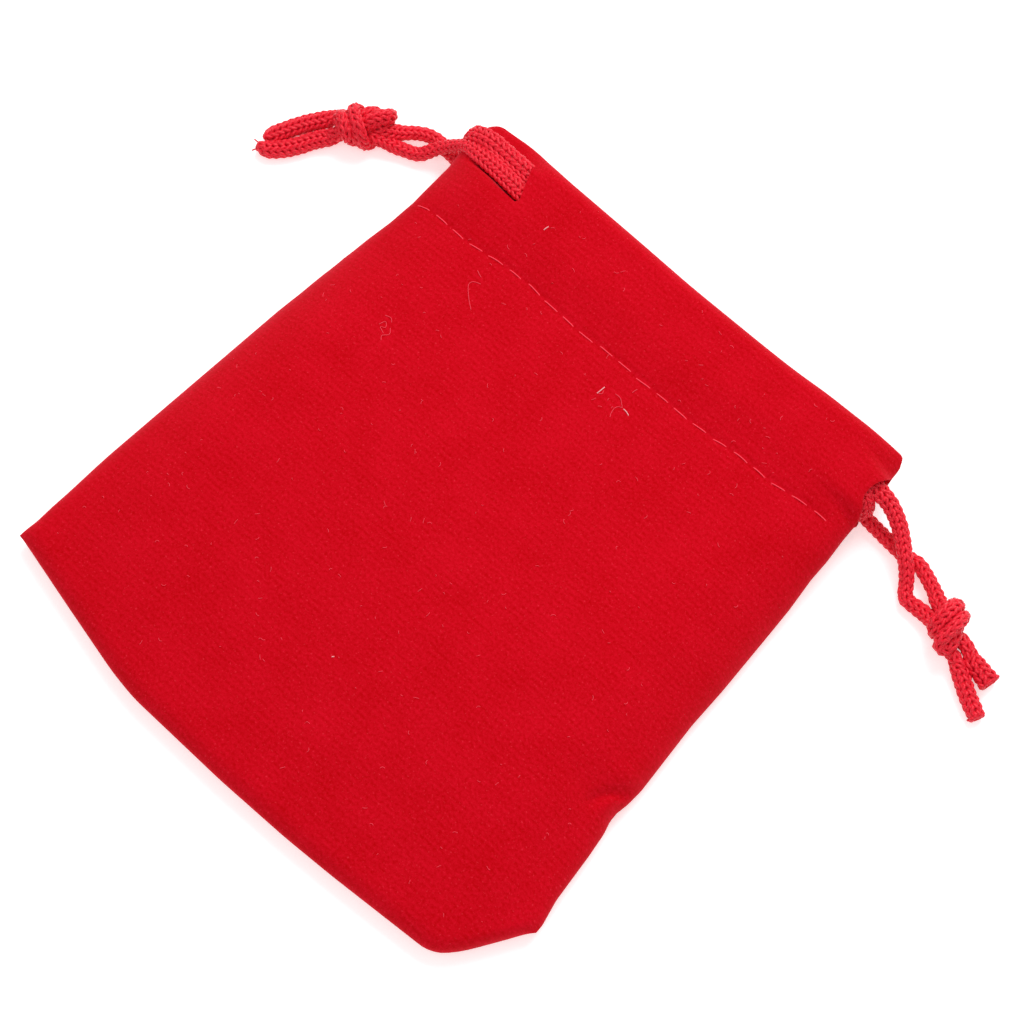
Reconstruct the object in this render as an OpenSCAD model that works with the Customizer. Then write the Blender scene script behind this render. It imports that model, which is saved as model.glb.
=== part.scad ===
// Drawstring gift pouch lying flat: X runs across the mouth, +Y points to the
// mouth and +Z is up. The origin is the centre of the pouch on the surface
// that it lies on. Two cords run through a casing at the mouth. Each is tied
// in one knot beside the pouch, and its far loop holds the other casing end.

/* [Pouch] */
// Width of the pouch across its mouth
mouth_w = 92; // [84:1:108]
// Width of the pouch across its lower corners
bottom_w = 109; // [100:1:130]
// Length from the bottom seam to the fold at the mouth
pouch_l = 118; // [100:1:150]
// Thickness of the velvet
cloth_t = 0.9; // [0.6:0.1:1.2]
// Height of the side and bottom seams above the surface
seam_z = 3; // [2.6:0.1:4]
// Distance over which the cloth rolls over a seam
roll_d = 3; // [2:0.5:5]
// Height that the cloth gains where it rolls over a seam
roll_h = 2.2; // [2:0.1:3]
// Extra height of the front panel's flat middle
puff_h = 5.8; // [5.5:0.1:8]
// Distance over which the front panel swells from its side seams
puff_side = 16; // [10:1:24]
// Distance over which the front panel swells from its bottom seam
puff_bottom = 60; // [40:1:70]

/* [Corners] */
// Rise of the bottom seam at the left corner
left_rise = 7.5; // [0:0.5:12]
// Width over which the left end of the bottom seam rises
left_rise_w = 34; // [20:1:45]
// Rise of the bottom seam towards the right corner
right_rise = 2; // [0:0.5:5]
// Width of the blunt right corner
blunt_w = 10.5; // [4:0.5:16]
// Height of the blunt right corner
blunt_h = 15; // [6:0.5:20]

/* [Hem] */
// Depth of the folded hem from the mouth to the stitch line
hem_d = 20.2; // [19:0.1:24]
// Width of the groove that the hem stitches lie in
groove_w = 0.8; // [0.7:0.05:1.2]
// Thickness of the turned-in facing
facing_t = 0.8; // [0.6:0.1:1.2]
// Free height between the two facings at the mouth
mouth_gap = 4.4; // [4.3:0.1:8]
// Height of the back hem above the surface
hem_lift = 0.2; // [0.1:0.1:0.5]
// Radius of the fold and of the casing's other edge
fold_r = 1.9; // [1.2:0.1:1.9]
// Distance from the middle to the inner edge of each casing end
slit_x = 35; // [30:0.5:37]
// Distance from the middle to the outer edge of each casing end
end_x = 46.5; // [44:0.5:50]
// Running gap between a casing end and the cloth beside it
end_gap = 0.3; // [0.2:0.05:0.5]
// Extra room below the left casing end, which slides down a little
end_drop = 0.9; // [0.8:0.1:1.2]

/* [Cords] */
// Width of the flattened knitted cord
cord_w = 2.8; // [2:0.1:3]
// Height of the flattened knitted cord
cord_h = 1.6; // [1.4:0.1:1.8]
// Free room above and below a cord in its casing
cord_gap = 0.3; // [0.2:0.05:0.4]
// Distance of the left cord's front run from the middle of the pouch
left_run_y = 48.9; // [47:0.1:50]
// Distance between the two cords side by side
run_pitch = 3.5; // [3.2:0.1:4]
// Distance that the back runs lie nearer to the bottom than the front runs
back_shift = 1.8; // [0.8:0.1:2]
// Sideways rise of a run for each millimetre to the left
run_slope = 0.0375; // [0.03:0.0025:0.04]
// Free room beside the cords in the slits
slit_room = 1.6; // [1:0.1:2]

/* [Knots] */
// Largest radius of a knot's core
knot_r = 2.7; // [2.4:0.1:3]
// Length of a knot along its cord
knot_l = 10; // [8:0.5:12]
// Radius of the middle of a turn around a knot
turn_r = 2.1; // [1.8:0.1:2.1]
// Distance between a knot's two turns
turn_pitch = 2.4; // [2:0.1:2.8]
// Angle of a turn across the knot
turn_tilt = 14; // [0:1:20]

/* [Seams] */
// Width of the seam allowances inside the pouch
allow_w = 4.5; // [3:0.5:6]
// Thickness of the two allowance layers together
allow_t = 1.5; // [1:0.1:1.6]
// Distance of an allowance from the seam that it hangs on
allow_gap = 0.5; // [0.5:0.1:0.8]
// Distance from one stitch to the next
stitch_pitch = 3.5; // [3:0.1:5]
// Length of one stitch
stitch_l = 2.7; // [2:0.1:2.8]
// Thickness of the sewing thread
thread_d = 0.4; // [0.3:0.05:0.5]

/* [Hidden] */
$fn = 48;

velvet = [0.80, 0.04, 0.11];
facing_red = [0.72, 0.04, 0.10];
cord_red = [0.88, 0.16, 0.20];
thread_red = [0.90, 0.22, 0.26];

// Heights of the layers at the mouth, from the surface upwards
z_back_cloth = hem_lift;
z_back_cord = z_back_cloth + cloth_t + cord_gap + cord_h / 2;
z_back_facing = z_back_cord + cord_h / 2 + cord_gap;
z_gap_low = z_back_facing + facing_t;
z_gap_high = z_gap_low + mouth_gap;
z_front_cord = z_gap_high + facing_t + cord_gap + cord_h / 2;
z_front_cloth = z_front_cord + cord_h / 2 + cord_gap;
z_top = z_front_cloth + cloth_t;
casing_h = z_top - z_gap_high;
z_mid = (z_gap_low + z_gap_high) / 2;

y_bottom = -pouch_l / 2;
y_mouth = pouch_l / 2;
y_stitch = y_mouth - hem_d;
y_casing = y_stitch + groove_w;
casing_d = y_mouth - y_casing;
front_rise = roll_h + puff_h;

// Half width of the pouch on one side, -1 or 1, at a distance y from the middle
function half_w(side, y) = lookup(y, [
    [y_bottom + (side < 0 ? left_rise : right_rise + blunt_h), bottom_w / 2],
    [y_mouth, mouth_w / 2]]);

// Line of the bottom seam across the pouch
rise_share = [0.4, 0.6];
bottom_line = [
    [-bottom_w / 2, y_bottom + left_rise],
    [-bottom_w / 2 + left_rise_w * rise_share[0], y_bottom + left_rise * rise_share[1]],
    [-bottom_w / 2 + left_rise_w, y_bottom],
    [0, y_bottom],
    [bottom_w / 2 - blunt_w, y_bottom + right_rise],
    [bottom_w / 2, y_bottom + right_rise + blunt_h]];
function bottom_y(x) = lookup(x, bottom_line);

// Cloth rolling over a seam, and swelling away from it, both from 0 to 1
function roll(d) = d >= roll_d ? 1 : sqrt(1 - pow(1 - d / roll_d, 2));
function swell(d, span) = d >= span ? 1 : 1 - pow(1 - d / span, 2);

// Columns from side to side, close at the seams and at each bend of the bottom
// seam, and rows from bottom to top of a panel, both as shares
edge_columns = [0.94, 0.965, 0.982, 0.994, 1];
function bend(i) = bottom_line[i][0] / (bottom_w / 2);
left_columns = [for (i = [4:-1:0]) -edge_columns[i]];
middle_columns = [(bend(1) - edge_columns[0]) / 2, bend(1), (bend(1) + bend(2)) / 2, bend(2),
    bend(2) / 2, 0, bend(4) / 3, bend(4) * 2 / 3, bend(4), (bend(4) + edge_columns[0]) / 2];
columns = concat(left_columns, middle_columns, edge_columns);
rows = [0, 0.004, 0.012, 0.03, 0.08, 0.16, 0.28, 0.42, 0.6, 0.8, 1];

// A point of a panel: inset 0 is its outer face, inset cloth_t its inner face
function panel_point(u, v, inset, rise, puff, up) =
    let (y0 = bottom_y(u * bottom_w / 2))
    let (y = y0 + (y_stitch - y0) * v)
    let (half = half_w(sign(u), y))
    let (side_d = (1 - abs(u)) * half)
    let (low_d = y - y0)
    let (h = rise * roll(side_d) * roll(low_d)
        + puff * swell(side_d, puff_side) * swell(low_d, puff_bottom))
    [u * (half - inset), y + inset * (1 - v), seam_z + up * h * (1 - inset / (rise + puff))];

module panel(rise, puff, up) {
    nu = len(columns);
    nv = len(rows);
    face_n = nu * nv;
    points = [for (inset = [0, cloth_t]) for (v = rows) for (u = columns)
        panel_point(u, v, inset, rise, puff, up)];
    function id(side, i, j) = side * face_n + j * nu + i;
    function quad(a, b, c, d) = [[a, b, c], [a, c, d]];
    sheets = [for (side = [0, 1]) for (j = [0:nv - 2]) for (i = [0:nu - 2])
        let (q = [id(side, i, j), id(side, i, j + 1), id(side, i + 1, j + 1), id(side, i + 1, j)])
        each side == 0 ? quad(q[0], q[1], q[2], q[3]) : quad(q[3], q[2], q[1], q[0])];
    ends = [for (j = [0, nv - 1]) for (i = [0:nu - 2])
        let (q = [id(0, i, j), id(0, i + 1, j), id(1, i + 1, j), id(1, i, j)])
        each j == 0 ? quad(q[0], q[1], q[2], q[3]) : quad(q[3], q[2], q[1], q[0])];
    flanks = [for (i = [0, nu - 1]) for (j = [0:nv - 2])
        let (q = [id(0, i, j), id(0, i, j + 1), id(1, i, j + 1), id(1, i, j)])
        each i == 0 ? quad(q[3], q[2], q[1], q[0]) : quad(q[0], q[1], q[2], q[3])];
    all_faces = concat(sheets, ends, flanks);
    polyhedron(points, up > 0 ? all_faces : [for (f = all_faces) [f[2], f[1], f[0]]]);
}

// A bar swept along a path, with its section's first side along s0 at the
// start. A given first heading squares its end to the piece that it continues.
function unit(v) = v / norm(v);
function headings(p, first) = [for (i = [0:len(p) - 1]) i == 0 && first != undef ? first :
    unit(p[min(i + 1, len(p) - 1)] - p[max(i - 1, 0)])];
function square_to(s, t) = unit(s - (s * t) * t);
function level_sides(along, s0, i = 0, done = []) = i == len(along) ? done :
    level_sides(along, s0, i + 1,
        concat(done, [square_to(i == 0 ? s0 : done[i - 1], along[i])]));

module sweep(path, section, s0, first = undef) {
    n = len(section);
    m = len(path);
    along = headings(path, first);
    across = level_sides(along, s0);
    points = [for (i = [0:m - 1]) for (q = section)
        path[i] + q[0] * across[i] + q[1] * cross(across[i], along[i])];
    walls = [for (i = [0:m - 2]) for (k = [0:n - 1])
        let (a = i * n + k, b = i * n + (k + 1) % n)
        each [[a, b, b + n], [a, b + n, a + n]]];
    caps = [[for (k = [n - 1:-1:0]) k], [for (k = [0:n - 1]) (m - 1) * n + k]];
    polyhedron(points, concat(walls, caps));
}

cord_sides = 8;
cord_section = [for (k = [0:cord_sides - 1])
    let (a = 360 * (k + 0.5) / cord_sides) [cord_w / 2 * cos(a), cord_h / 2 * sin(a)]];
strip_section = [[-allow_w / 2, -allow_t / 2], [allow_w / 2, -allow_t / 2],
    [allow_w / 2, allow_t / 2], [-allow_w / 2, allow_t / 2]];

// Panels
module front_panel() { color(velvet) panel(roll_h, puff_h, 1); }
module back_panel() { color(velvet) panel(seam_z, 0, -1); }

// Seam allowances, turned inwards along the seams
allow_in = cloth_t + allow_gap + allow_w / 2;
allow_margin = 3;
allow_low = y_bottom + left_rise + allow_in + allow_w / 2 + allow_margin;
allow_low_right = bottom_y(bottom_w / 2) + allow_margin;
function side_path(side, low) = [for (y = [low, (low + y_stitch) / 2, y_stitch])
    [side * (half_w(side, y) - allow_in), y, seam_z]];
bottom_ends = [-bottom_w / 2 + allow_in + allow_w, bottom_w / 2 - blunt_w - allow_margin];
function bottom_path() = [for (x = [bottom_ends[0], bottom_line[1][0], bottom_line[2][0], 0,
    bottom_ends[1]]) [x, bottom_y(x) + allow_in, seam_z]];

module left_seam_allowance() {
    color(facing_red) sweep(side_path(-1, allow_low), strip_section, [1, 0, 0]);
}
module right_seam_allowance() {
    color(facing_red) sweep(side_path(1, allow_low_right), strip_section, [1, 0, 0]);
}
module bottom_seam_allowance() {
    color(facing_red) sweep(bottom_path(), strip_section, [0, 1, 0]);
}

// One stitch that lies along a direction in the plane of the pouch
module stitch(at, angle) {
    translate(at) rotate([0, 0, angle])
        translate([-stitch_l / 2, -thread_d / 2, 0]) cube([stitch_l, thread_d, thread_d]);
}
module stitch_row(a, b) {
    run = b - a;
    count = floor(norm(run) / stitch_pitch);
    for (i = [0:count - 1])
        stitch(a + run * (i + 0.5) / count, atan2(run[1], run[0]));
}
stitch_z = seam_z + allow_t / 2;
stitch_in = cloth_t + allow_gap + allow_w / 3;
function seam_at(side, y) = [side * (half_w(side, y) - stitch_in), y, stitch_z];

module left_seam_stitches() {
    color(thread_red) stitch_row(seam_at(-1, allow_low), seam_at(-1, y_stitch));
}
module right_seam_stitches() {
    color(thread_red) stitch_row(seam_at(1, allow_low_right), seam_at(1, y_stitch));
}
module bottom_seam_stitches() {
    seam = [for (p = bottom_path()) p + [0, 0, allow_t / 2]];
    color(thread_red) for (i = [0:len(seam) - 2])
        stitch_row(seam[i], seam[i + 1]);
}

// Hem: a flattened tube of cloth between its fold and its stitch line
module rounded_bar(l, h, r) {
    translate([r, 0]) square([l - 2 * r, h]);
    translate([0, r]) square([l, h - 2 * r]);
    for (x = [r, l - r]) for (y = [r, h - r]) translate([x, y]) circle(r);
}
module casing_tube(x0, x1, z0, wall_low, wall_high) {
    inner_h = casing_h - wall_low - wall_high;
    side_wall = (wall_low + wall_high) / 2;
    translate([x0, y_casing, z0]) rotate([90, 0, 90]) linear_extrude(x1 - x0) difference() {
        rounded_bar(casing_d, casing_h, fold_r);
        translate([side_wall, wall_low])
            rounded_bar(casing_d - 2 * side_wall, inner_h, fold_r - side_wall);
    }
}
module front_casing_left() {
    color(velvet) casing_tube(-slit_x, 0, z_gap_high, facing_t, cloth_t);
}
module front_casing_right() {
    color(velvet) casing_tube(0, slit_x, z_gap_high, facing_t, cloth_t);
}
module back_casing_left() {
    color(velvet) casing_tube(-slit_x, 0, z_back_cloth, cloth_t, facing_t);
}
module back_casing_right() {
    color(velvet) casing_tube(0, slit_x, z_back_cloth, cloth_t, facing_t);
}

// Casing ends: front and back hem joined at the side seam, open to the mouth
end_w = end_x - slit_x - end_gap;
seam_t = 2.4;
corner_cut = 3;
// Shares of an end's width and of half its height, from its inner edge out
end_shape = [[0, 1], [0.4, 0.84], [0.72, 0.5], [1, 0.1]];
function left_front_y(x) = left_run_y - run_slope * x;
function right_front_y(x) = left_front_y(x) + run_pitch;
channel_low = left_front_y(-slit_x) - cord_w / 2 - slit_room;
channel_high = right_front_y(-end_x) + cord_w / 2 + slit_room / 2;
port_low = left_front_y(end_x) - back_shift - cord_w / 2 - slit_room / 2;
port_high = right_front_y(slit_x) + cord_w / 2 + slit_room / 2;

// The end's section across the mouth, measured from its inner edge outwards
module end_section(outer_h, inner_h) {
    difference() {
        polygon([for (up = [1, -1]) for (p = up > 0 ? end_shape : [for (i = [3:-1:0]) end_shape[i]])
            [end_w * p[0], up * outer_h * p[1]]]);
        polygon([[-1, inner_h], [end_w - seam_t - 1, inner_h * 0.4], [end_w - seam_t, 0],
            [end_w - seam_t - 1, -inner_h * 0.4], [-1, -inner_h]]);
    }
}
module end_blank(y0, outer_h, inner_h) {
    depth = y_mouth - y0;
    intersection() {
        translate([0, y_mouth, z_mid]) rotate([90, 0, 0])
            linear_extrude(depth) end_section(outer_h, inner_h);
        translate([0, y0, z_mid - outer_h]) linear_extrude(2 * outer_h) polygon([[0, 0],
            [end_w, 0], [end_w, depth - corner_cut], [end_w - corner_cut, depth], [0, depth]]);
    }
}
outer_half = (z_top - z_back_cloth) / 2;
slot_h = cord_h + 2 * cord_gap;
far = 2 * end_x;

module left_casing_end() {
    shelf = z_front_cord - z_mid - cord_h / 2 - cord_gap - cloth_t;
    color(velvet) difference() {
        translate([-slit_x - end_gap, 0, 0]) mirror([1, 0, 0])
            end_blank(y_casing + end_drop, outer_half, shelf);
        translate([-far, channel_low, z_front_cord - slot_h / 2])
            cube([far, channel_high - channel_low, far]);
        translate([-far, channel_low - back_shift, z_back_cord + slot_h / 2 - far])
            cube([far, channel_high - channel_low, far]);
    }
}
module right_casing_end() {
    port = port_high - port_low;
    port_x = end_x - 4.5;
    lid_x = end_x - 1.5;
    color(velvet) difference() {
        translate([slit_x + end_gap, 0, 0]) end_blank(y_casing, outer_half, mouth_gap / 2);
        for (z = [z_front_cord, z_back_cord])
            translate([0, port_low, z - slot_h / 2]) cube([far, port, slot_h]);
        translate([port_x, port_low, z_back_cord]) cube([far, port, z_front_cord - z_back_cord]);
        translate([lid_x, port_low, 0]) cube([far, port, z_top]);
    }
}

// Hem stitches lie in the groove between the panels and the hem
stitch_seat = 0.02;
groove_y = y_stitch + thread_d / 2 + stitch_seat;
front_stitch_z = seam_z + front_rise - cloth_t;
back_stitch_z = cloth_t - thread_d;
module front_hem_stitches() {
    color(thread_red) stitch_row([-slit_x, groove_y, front_stitch_z], [slit_x, groove_y, front_stitch_z]);
}
module back_hem_stitches() {
    color(thread_red) stitch_row([-slit_x, groove_y, back_stitch_z], [slit_x, groove_y, back_stitch_z]);
}
// Stitches at the casing ends close their lower edges, front and back
module end_stitches(side, y0) {
    x0 = slit_x + end_gap + 1;
    x1 = slit_x + end_w * 0.45;
    for (up = [1, -1]) {
        z = z_mid + up * (outer_half * 0.5 + mouth_gap / 4) - thread_d / 2;
        stitch_row([side * x0, y0 - thread_d / 2 - stitch_seat, z],
            [side * x1, y0 - thread_d / 2 - stitch_seat, z]);
    }
}
module left_end_stitches() { color(thread_red) end_stitches(-1, y_casing + end_drop); }
module right_end_stitches() { color(thread_red) end_stitches(1, y_casing); }

// Cord runs inside the casing. Each ends in a far loop around the other side.
left_out_x = -slit_x;
right_out_x = end_x - 0.5;
left_front_exit = [left_out_x, left_front_y(left_out_x), z_front_cord];
left_back_exit = [left_out_x, left_front_y(left_out_x) - back_shift, z_back_cord];
right_front_exit = [right_out_x, right_front_y(right_out_x), z_front_cord];
right_back_exit = [right_out_x, right_front_y(right_out_x) - back_shift, z_back_cord];

function front_at(x, y0) = [x, y0 - run_slope * x, z_front_cord];
function back_at(x, y0) = [x, y0 - run_slope * x - back_shift, z_back_cord];
// Distance of each loop point out from the casing end, and its height share
right_loop = [[-8.5, 1], [-4, 0.97], [-1.6, 0.6], [-0.9, 0], [-1.6, -0.6], [-4, -0.97], [-8.5, -1]];
left_loop = [[-8, 1], [-3, 0.95], [1, 0.52], [2.1, 0], [1, -0.52], [-3, -0.95], [-8, -1]];
z_loop = (z_front_cord + z_back_cord) / 2;
half_loop = (z_front_cord - z_back_cord) / 2;
function loop_points(shape, side, y0) = [for (p = shape)
    let (x = side * (end_x + p[0]))
    [x, y0 - run_slope * x - back_shift * (1 - p[1]) / 2, z_loop + half_loop * p[1]]];

module left_drawstring() {
    color(cord_red) sweep(concat([left_front_exit],
        loop_points(right_loop, 1, left_run_y), [left_back_exit]), cord_section, [0, 1, 0]);
}
module right_drawstring() {
    color(cord_red) sweep(concat([right_front_exit],
        loop_points(left_loop, -1, left_run_y + run_pitch), [right_back_exit]),
        cord_section, [0, 1, 0]);
}

// Free leads, from each exit to the knot, as steps from the exit
left_heading = unit([-1, run_slope, 0]);
left_front_steps = [[0, 0, 0], [-6, 0.4, 0], [-9.5, 0.4, -0.2], [-12.8, -0.2, -2.2],
    [-15, -2, -4.6], [-18, -4.2, -7.6], [-21, -5.2, -8.9], [-23.5, -5.8, -8.6], [-25.5, -6.4, -8.2]];
left_back_steps = [[0, 0, 0], [-9, 0.3, 0], [-14, 0.8, 0], [-17, 1.8, -0.5], [-20, 2.3, -0.9],
    [-22.5, 1.4, -0.9], [-24.5, -1, 0.4], [-25.8, -2.6, 2]];
right_front_steps = [[0, 0, 0], [3, 0.1, -1.2], [6.2, -0.6, -4], [9.3, -2.6, -6], [12.6, -5.4, -7],
    [15.2, -8, -8.4], [17, -9.7, -8.9], [20, -10.1, -8.4], [22.4, -9.8, -7.4]];
right_back_steps = [[0, 0, 0], [3, -0.6, -0.3], [6, -1.8, -0.7], [9.5, -2.3, -0.9], [12, -0.9, -1],
    [14.5, -1, -1], [18, -2.6, -0.8], [20.6, -4, 0], [22.2, -4.8, 0.8]];
function from(exit, steps) = [for (s = steps) exit + s];

module left_lead_front() {
    color(cord_red) sweep(from(left_front_exit, left_front_steps), cord_section, [0, 1, 0], left_heading);
}
module left_lead_back() {
    color(cord_red) sweep(from(left_back_exit, left_back_steps), cord_section, [0, 1, 0], left_heading);
}
module right_lead_front() {
    color(cord_red) sweep(from(right_front_exit, right_front_steps), cord_section, [0, 1, 0], -left_heading);
}
module right_lead_back() {
    color(cord_red) sweep(from(right_back_exit, right_back_steps), cord_section, [0, 1, 0], -left_heading);
}

// Knots: a barrel-shaped core with two turns around it
knot_z = 3.4;
left_knot_step = [-28.7, -7];
right_knot_step = [25.4, -9];
left_knot_at = [left_front_exit[0] + left_knot_step[0], left_front_exit[1] + left_knot_step[1], knot_z];
right_knot_at = [right_front_exit[0] + right_knot_step[0],
    right_front_exit[1] + right_knot_step[1], knot_z];
left_knot_angle = 37;
right_knot_angle = -35;
end_share = 0.6;

module knot_core() {
    edge = knot_r * end_share;
    bow = (pow(knot_l / 2, 2) + pow(knot_r - edge, 2)) / (2 * (knot_r - edge));
    rotate_extrude() intersection() {
        translate([knot_r - bow, 0]) circle(bow, $fn = 96);
        translate([0, -knot_l / 2]) square([knot_r, knot_l]);
    }
}
module knot(at, angle, tilt) {
    turn_t = (knot_z - turn_r) / 1.06;
    translate(at) rotate([0, 0, angle]) {
        rotate([0, 90, 0]) knot_core();
        for (s = [-0.5, 0.5]) translate([s * turn_pitch, 0, 0]) rotate([0, 0, tilt])
            rotate([0, 90, 0]) rotate_extrude() translate([turn_r, 0]) circle(turn_t);
    }
}
module left_knot() { color(cord_red) knot(left_knot_at, left_knot_angle, turn_tilt); }
module right_knot() { color(cord_red) knot(right_knot_at, right_knot_angle, -turn_tilt); }

// Cut tails beyond the knots, as steps from the knot's middle
left_upper_steps = [[-3.5, -0.4, -0.4], [-6.6, -1.8, -1.2], [-9.8, -4.6, -2], [-12.3, -9.2, -2.2],
    [-13.2, -11.8, -2.2]];
left_lower_steps = [[-1.5, -3.2, -0.6], [-3.5, -6, -1.4], [-6.1, -9.8, -2.1], [-8.9, -13.4, -2.2],
    [-12.2, -14.8, -2.2]];
right_outer_steps = [[2.8, -0.2, -0.4], [5.6, -1.4, -1.4], [8.2, -1.8, -2], [11, -2.6, -2.1]];
right_inner_steps = [[2.2, -3.2, -0.6], [5.6, -4.4, -1.6], [8, -5.8, -2.1], [11, -7.8, -2.2],
    [13.8, -8.8, -2.2]];

module left_tail_upper() {
    color(cord_red) sweep(from(left_knot_at, left_upper_steps), cord_section, [0, 1, 0]);
}
module left_tail_lower() {
    color(cord_red) sweep(from(left_knot_at, left_lower_steps), cord_section, [0, 1, 0]);
}
module right_tail_outer() {
    color(cord_red) sweep(from(right_knot_at, right_outer_steps), cord_section, [0, 1, 0]);
}
module right_tail_inner() {
    color(cord_red) sweep(from(right_knot_at, right_inner_steps), cord_section, [0, 1, 0]);
}

front_panel();
back_panel();
left_seam_allowance();
right_seam_allowance();
bottom_seam_allowance();
left_seam_stitches();
right_seam_stitches();
bottom_seam_stitches();
front_casing_left();
front_casing_right();
back_casing_left();
back_casing_right();
left_casing_end();
right_casing_end();
front_hem_stitches();
back_hem_stitches();
left_end_stitches();
right_end_stitches();
left_drawstring();
left_lead_front();
left_lead_back();
left_knot();
left_tail_upper();
left_tail_lower();
right_drawstring();
right_lead_front();
right_lead_back();
right_knot();
right_tail_outer();
right_tail_inner();
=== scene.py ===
"""Visual model of a drawstring gift pouch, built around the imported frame.

Lengths inside the classes are in millimetres, in the frame's own axes: X runs
across the mouth, +Y points to the mouth and +Z is up. Meshes are written in
metres.
"""

import sys

import logging
import math
from dataclasses import dataclass
from enum import Enum
from typing import TypeVar

import bmesh
import bpy
import numpy as np
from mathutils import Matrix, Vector


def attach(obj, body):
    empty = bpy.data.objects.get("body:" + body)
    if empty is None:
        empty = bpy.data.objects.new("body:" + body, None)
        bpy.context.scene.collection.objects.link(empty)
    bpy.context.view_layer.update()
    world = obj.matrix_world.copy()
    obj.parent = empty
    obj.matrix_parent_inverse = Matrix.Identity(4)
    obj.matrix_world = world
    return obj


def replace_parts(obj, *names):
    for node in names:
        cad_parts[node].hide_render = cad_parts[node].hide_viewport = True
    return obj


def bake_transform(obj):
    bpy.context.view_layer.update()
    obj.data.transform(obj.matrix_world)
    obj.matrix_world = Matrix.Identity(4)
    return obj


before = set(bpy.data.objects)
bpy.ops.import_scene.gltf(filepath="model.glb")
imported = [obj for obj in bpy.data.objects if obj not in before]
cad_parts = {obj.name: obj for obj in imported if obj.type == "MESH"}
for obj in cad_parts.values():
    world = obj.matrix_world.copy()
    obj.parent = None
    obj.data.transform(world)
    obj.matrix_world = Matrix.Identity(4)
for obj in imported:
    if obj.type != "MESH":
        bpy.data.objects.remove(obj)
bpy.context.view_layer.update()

LOG = logging.getLogger("pouch")
MM = 0.001
UV_SPAN = 200.0  # millimetres of cloth to one unit of its UV map
WAVE = 0.314  # a wave texture of scale 1 repeats each 0.314 of its coordinates
SHARP_DEG = 60.0  # an edge of cloth stays sharp from here
FIBRE_SHARP_DEG = 80.0  # and an edge of thread or yarn from here

Two = tuple[float, float]
Three = tuple[float, float, float]
Point = Three
Table = tuple[Two, ...]
Lines = list[np.ndarray]
Value = TypeVar("Value")


class Pair(Enum):
    """One of two named options, each with its sign as its value."""

    @property
    def tag(self) -> str:
        """The option's word in names."""
        return self.name.lower()

    def pick(self, pair: tuple[Value, Value]) -> Value:
        """Gives this option's value of two that are in the options' order."""
        return pair[list(type(self)).index(self)]


class Side(Pair):
    """Which half of the pouch, as the sign of its X."""

    LEFT = -1
    RIGHT = 1


class Face(Pair):
    """Which cloth of the pouch, as the direction that it faces."""

    FRONT = 1
    BACK = -1


class Zone(Enum):
    """Which part of a cloth a row is in, from the bottom seam round to the facing."""

    PANEL = "panel"
    HEM = "hem"
    FOLD = "fold"
    FACING = "facing"


# ---------------------------------------------------------------- small tools
def ramp(value: np.ndarray, start: float, end: float) -> np.ndarray:
    """Goes smoothly from 0 at start to 1 at end.

    Args:
        value: Places to read the ramp at.
        start: Place of 0.
        end: Place of 1.

    Returns:
        The ramp's height at each place.
    """
    t = np.clip((value - start) / (end - start), 0.0, 1.0)
    return t * t * (3.0 - 2.0 * t)


def hump(value: np.ndarray, low: float, high: float, edge: float) -> np.ndarray:
    """Is 1 between low and high and falls smoothly to 0 over edge outside them."""
    return ramp(value, low - edge, low) * (1.0 - ramp(value, high, high + edge))


def eased(x: np.ndarray, table: Table, reach: float, count: int) -> np.ndarray:
    """Reads a table of places and values with its corners rounded.

    Args:
        x: Places to read it at.
        table: Pairs of a place and its value.
        reach: How far to both sides the values are averaged.
        count: Number of values in an average.

    Returns:
        The value at each place.
    """
    near = [np.interp(x + d, *zip(*table)) for d in np.linspace(-reach, reach, count)]
    return np.mean(near, axis=0)


def smooth_line(points: np.ndarray | tuple[Point, ...], step: float) -> np.ndarray:
    """Draws a smooth curve through points.

    Args:
        points: The points, one a row.
        step: Distance between the points of the result.

    Returns:
        Points of the curve, step apart.
    """
    points = np.array(points)
    p = np.vstack([2 * points[0] - points[1], points, 2 * points[-1] - points[-2]])
    out = []
    for a, b, c, d in zip(p[:-3], p[1:-2], p[2:-1], p[3:]):
        count = max(2, int(np.linalg.norm(c - b) / step * 2))
        t = np.linspace(0, 1, count, endpoint=False)[:, None]
        out.append(0.5 * (2 * b + (c - a) * t + (2 * a - 5 * b + 4 * c - d) * t**2
                          + (3 * b - a - 3 * c + d) * t**3))
    return evenly(np.vstack([*out, p[-2][None]]), step)


def evenly(line: np.ndarray, step: float) -> np.ndarray:
    """Gives a line again with its points step apart."""
    along = lengths(line)
    return read_rows(np.linspace(0, along[-1], max(2, round(along[-1] / step) + 1)), along, line)


def read_rows(at: np.ndarray, along: np.ndarray, rows: np.ndarray) -> np.ndarray:
    """Reads rows that belong to the distances along, at other distances."""
    return np.stack([np.interp(at, along, rows[:, k]) for k in range(3)], axis=1)


def relaxed(line: np.ndarray) -> np.ndarray:
    """The inner points of a line, each half way to its neighbours' middle."""
    return 0.5 * line[1:-1] + 0.25 * (line[:-2] + line[2:])


def lengths(line: np.ndarray) -> np.ndarray:
    """Distance along a line to each of its points."""
    return np.concatenate([[0.0], np.cumsum(np.linalg.norm(np.diff(line, axis=0), axis=1))])


def unit_rows(rows: np.ndarray) -> np.ndarray:
    """Rows scaled to length 1."""
    return rows / np.maximum(np.linalg.norm(rows, axis=-1, keepdims=True), 1e-9)


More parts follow.
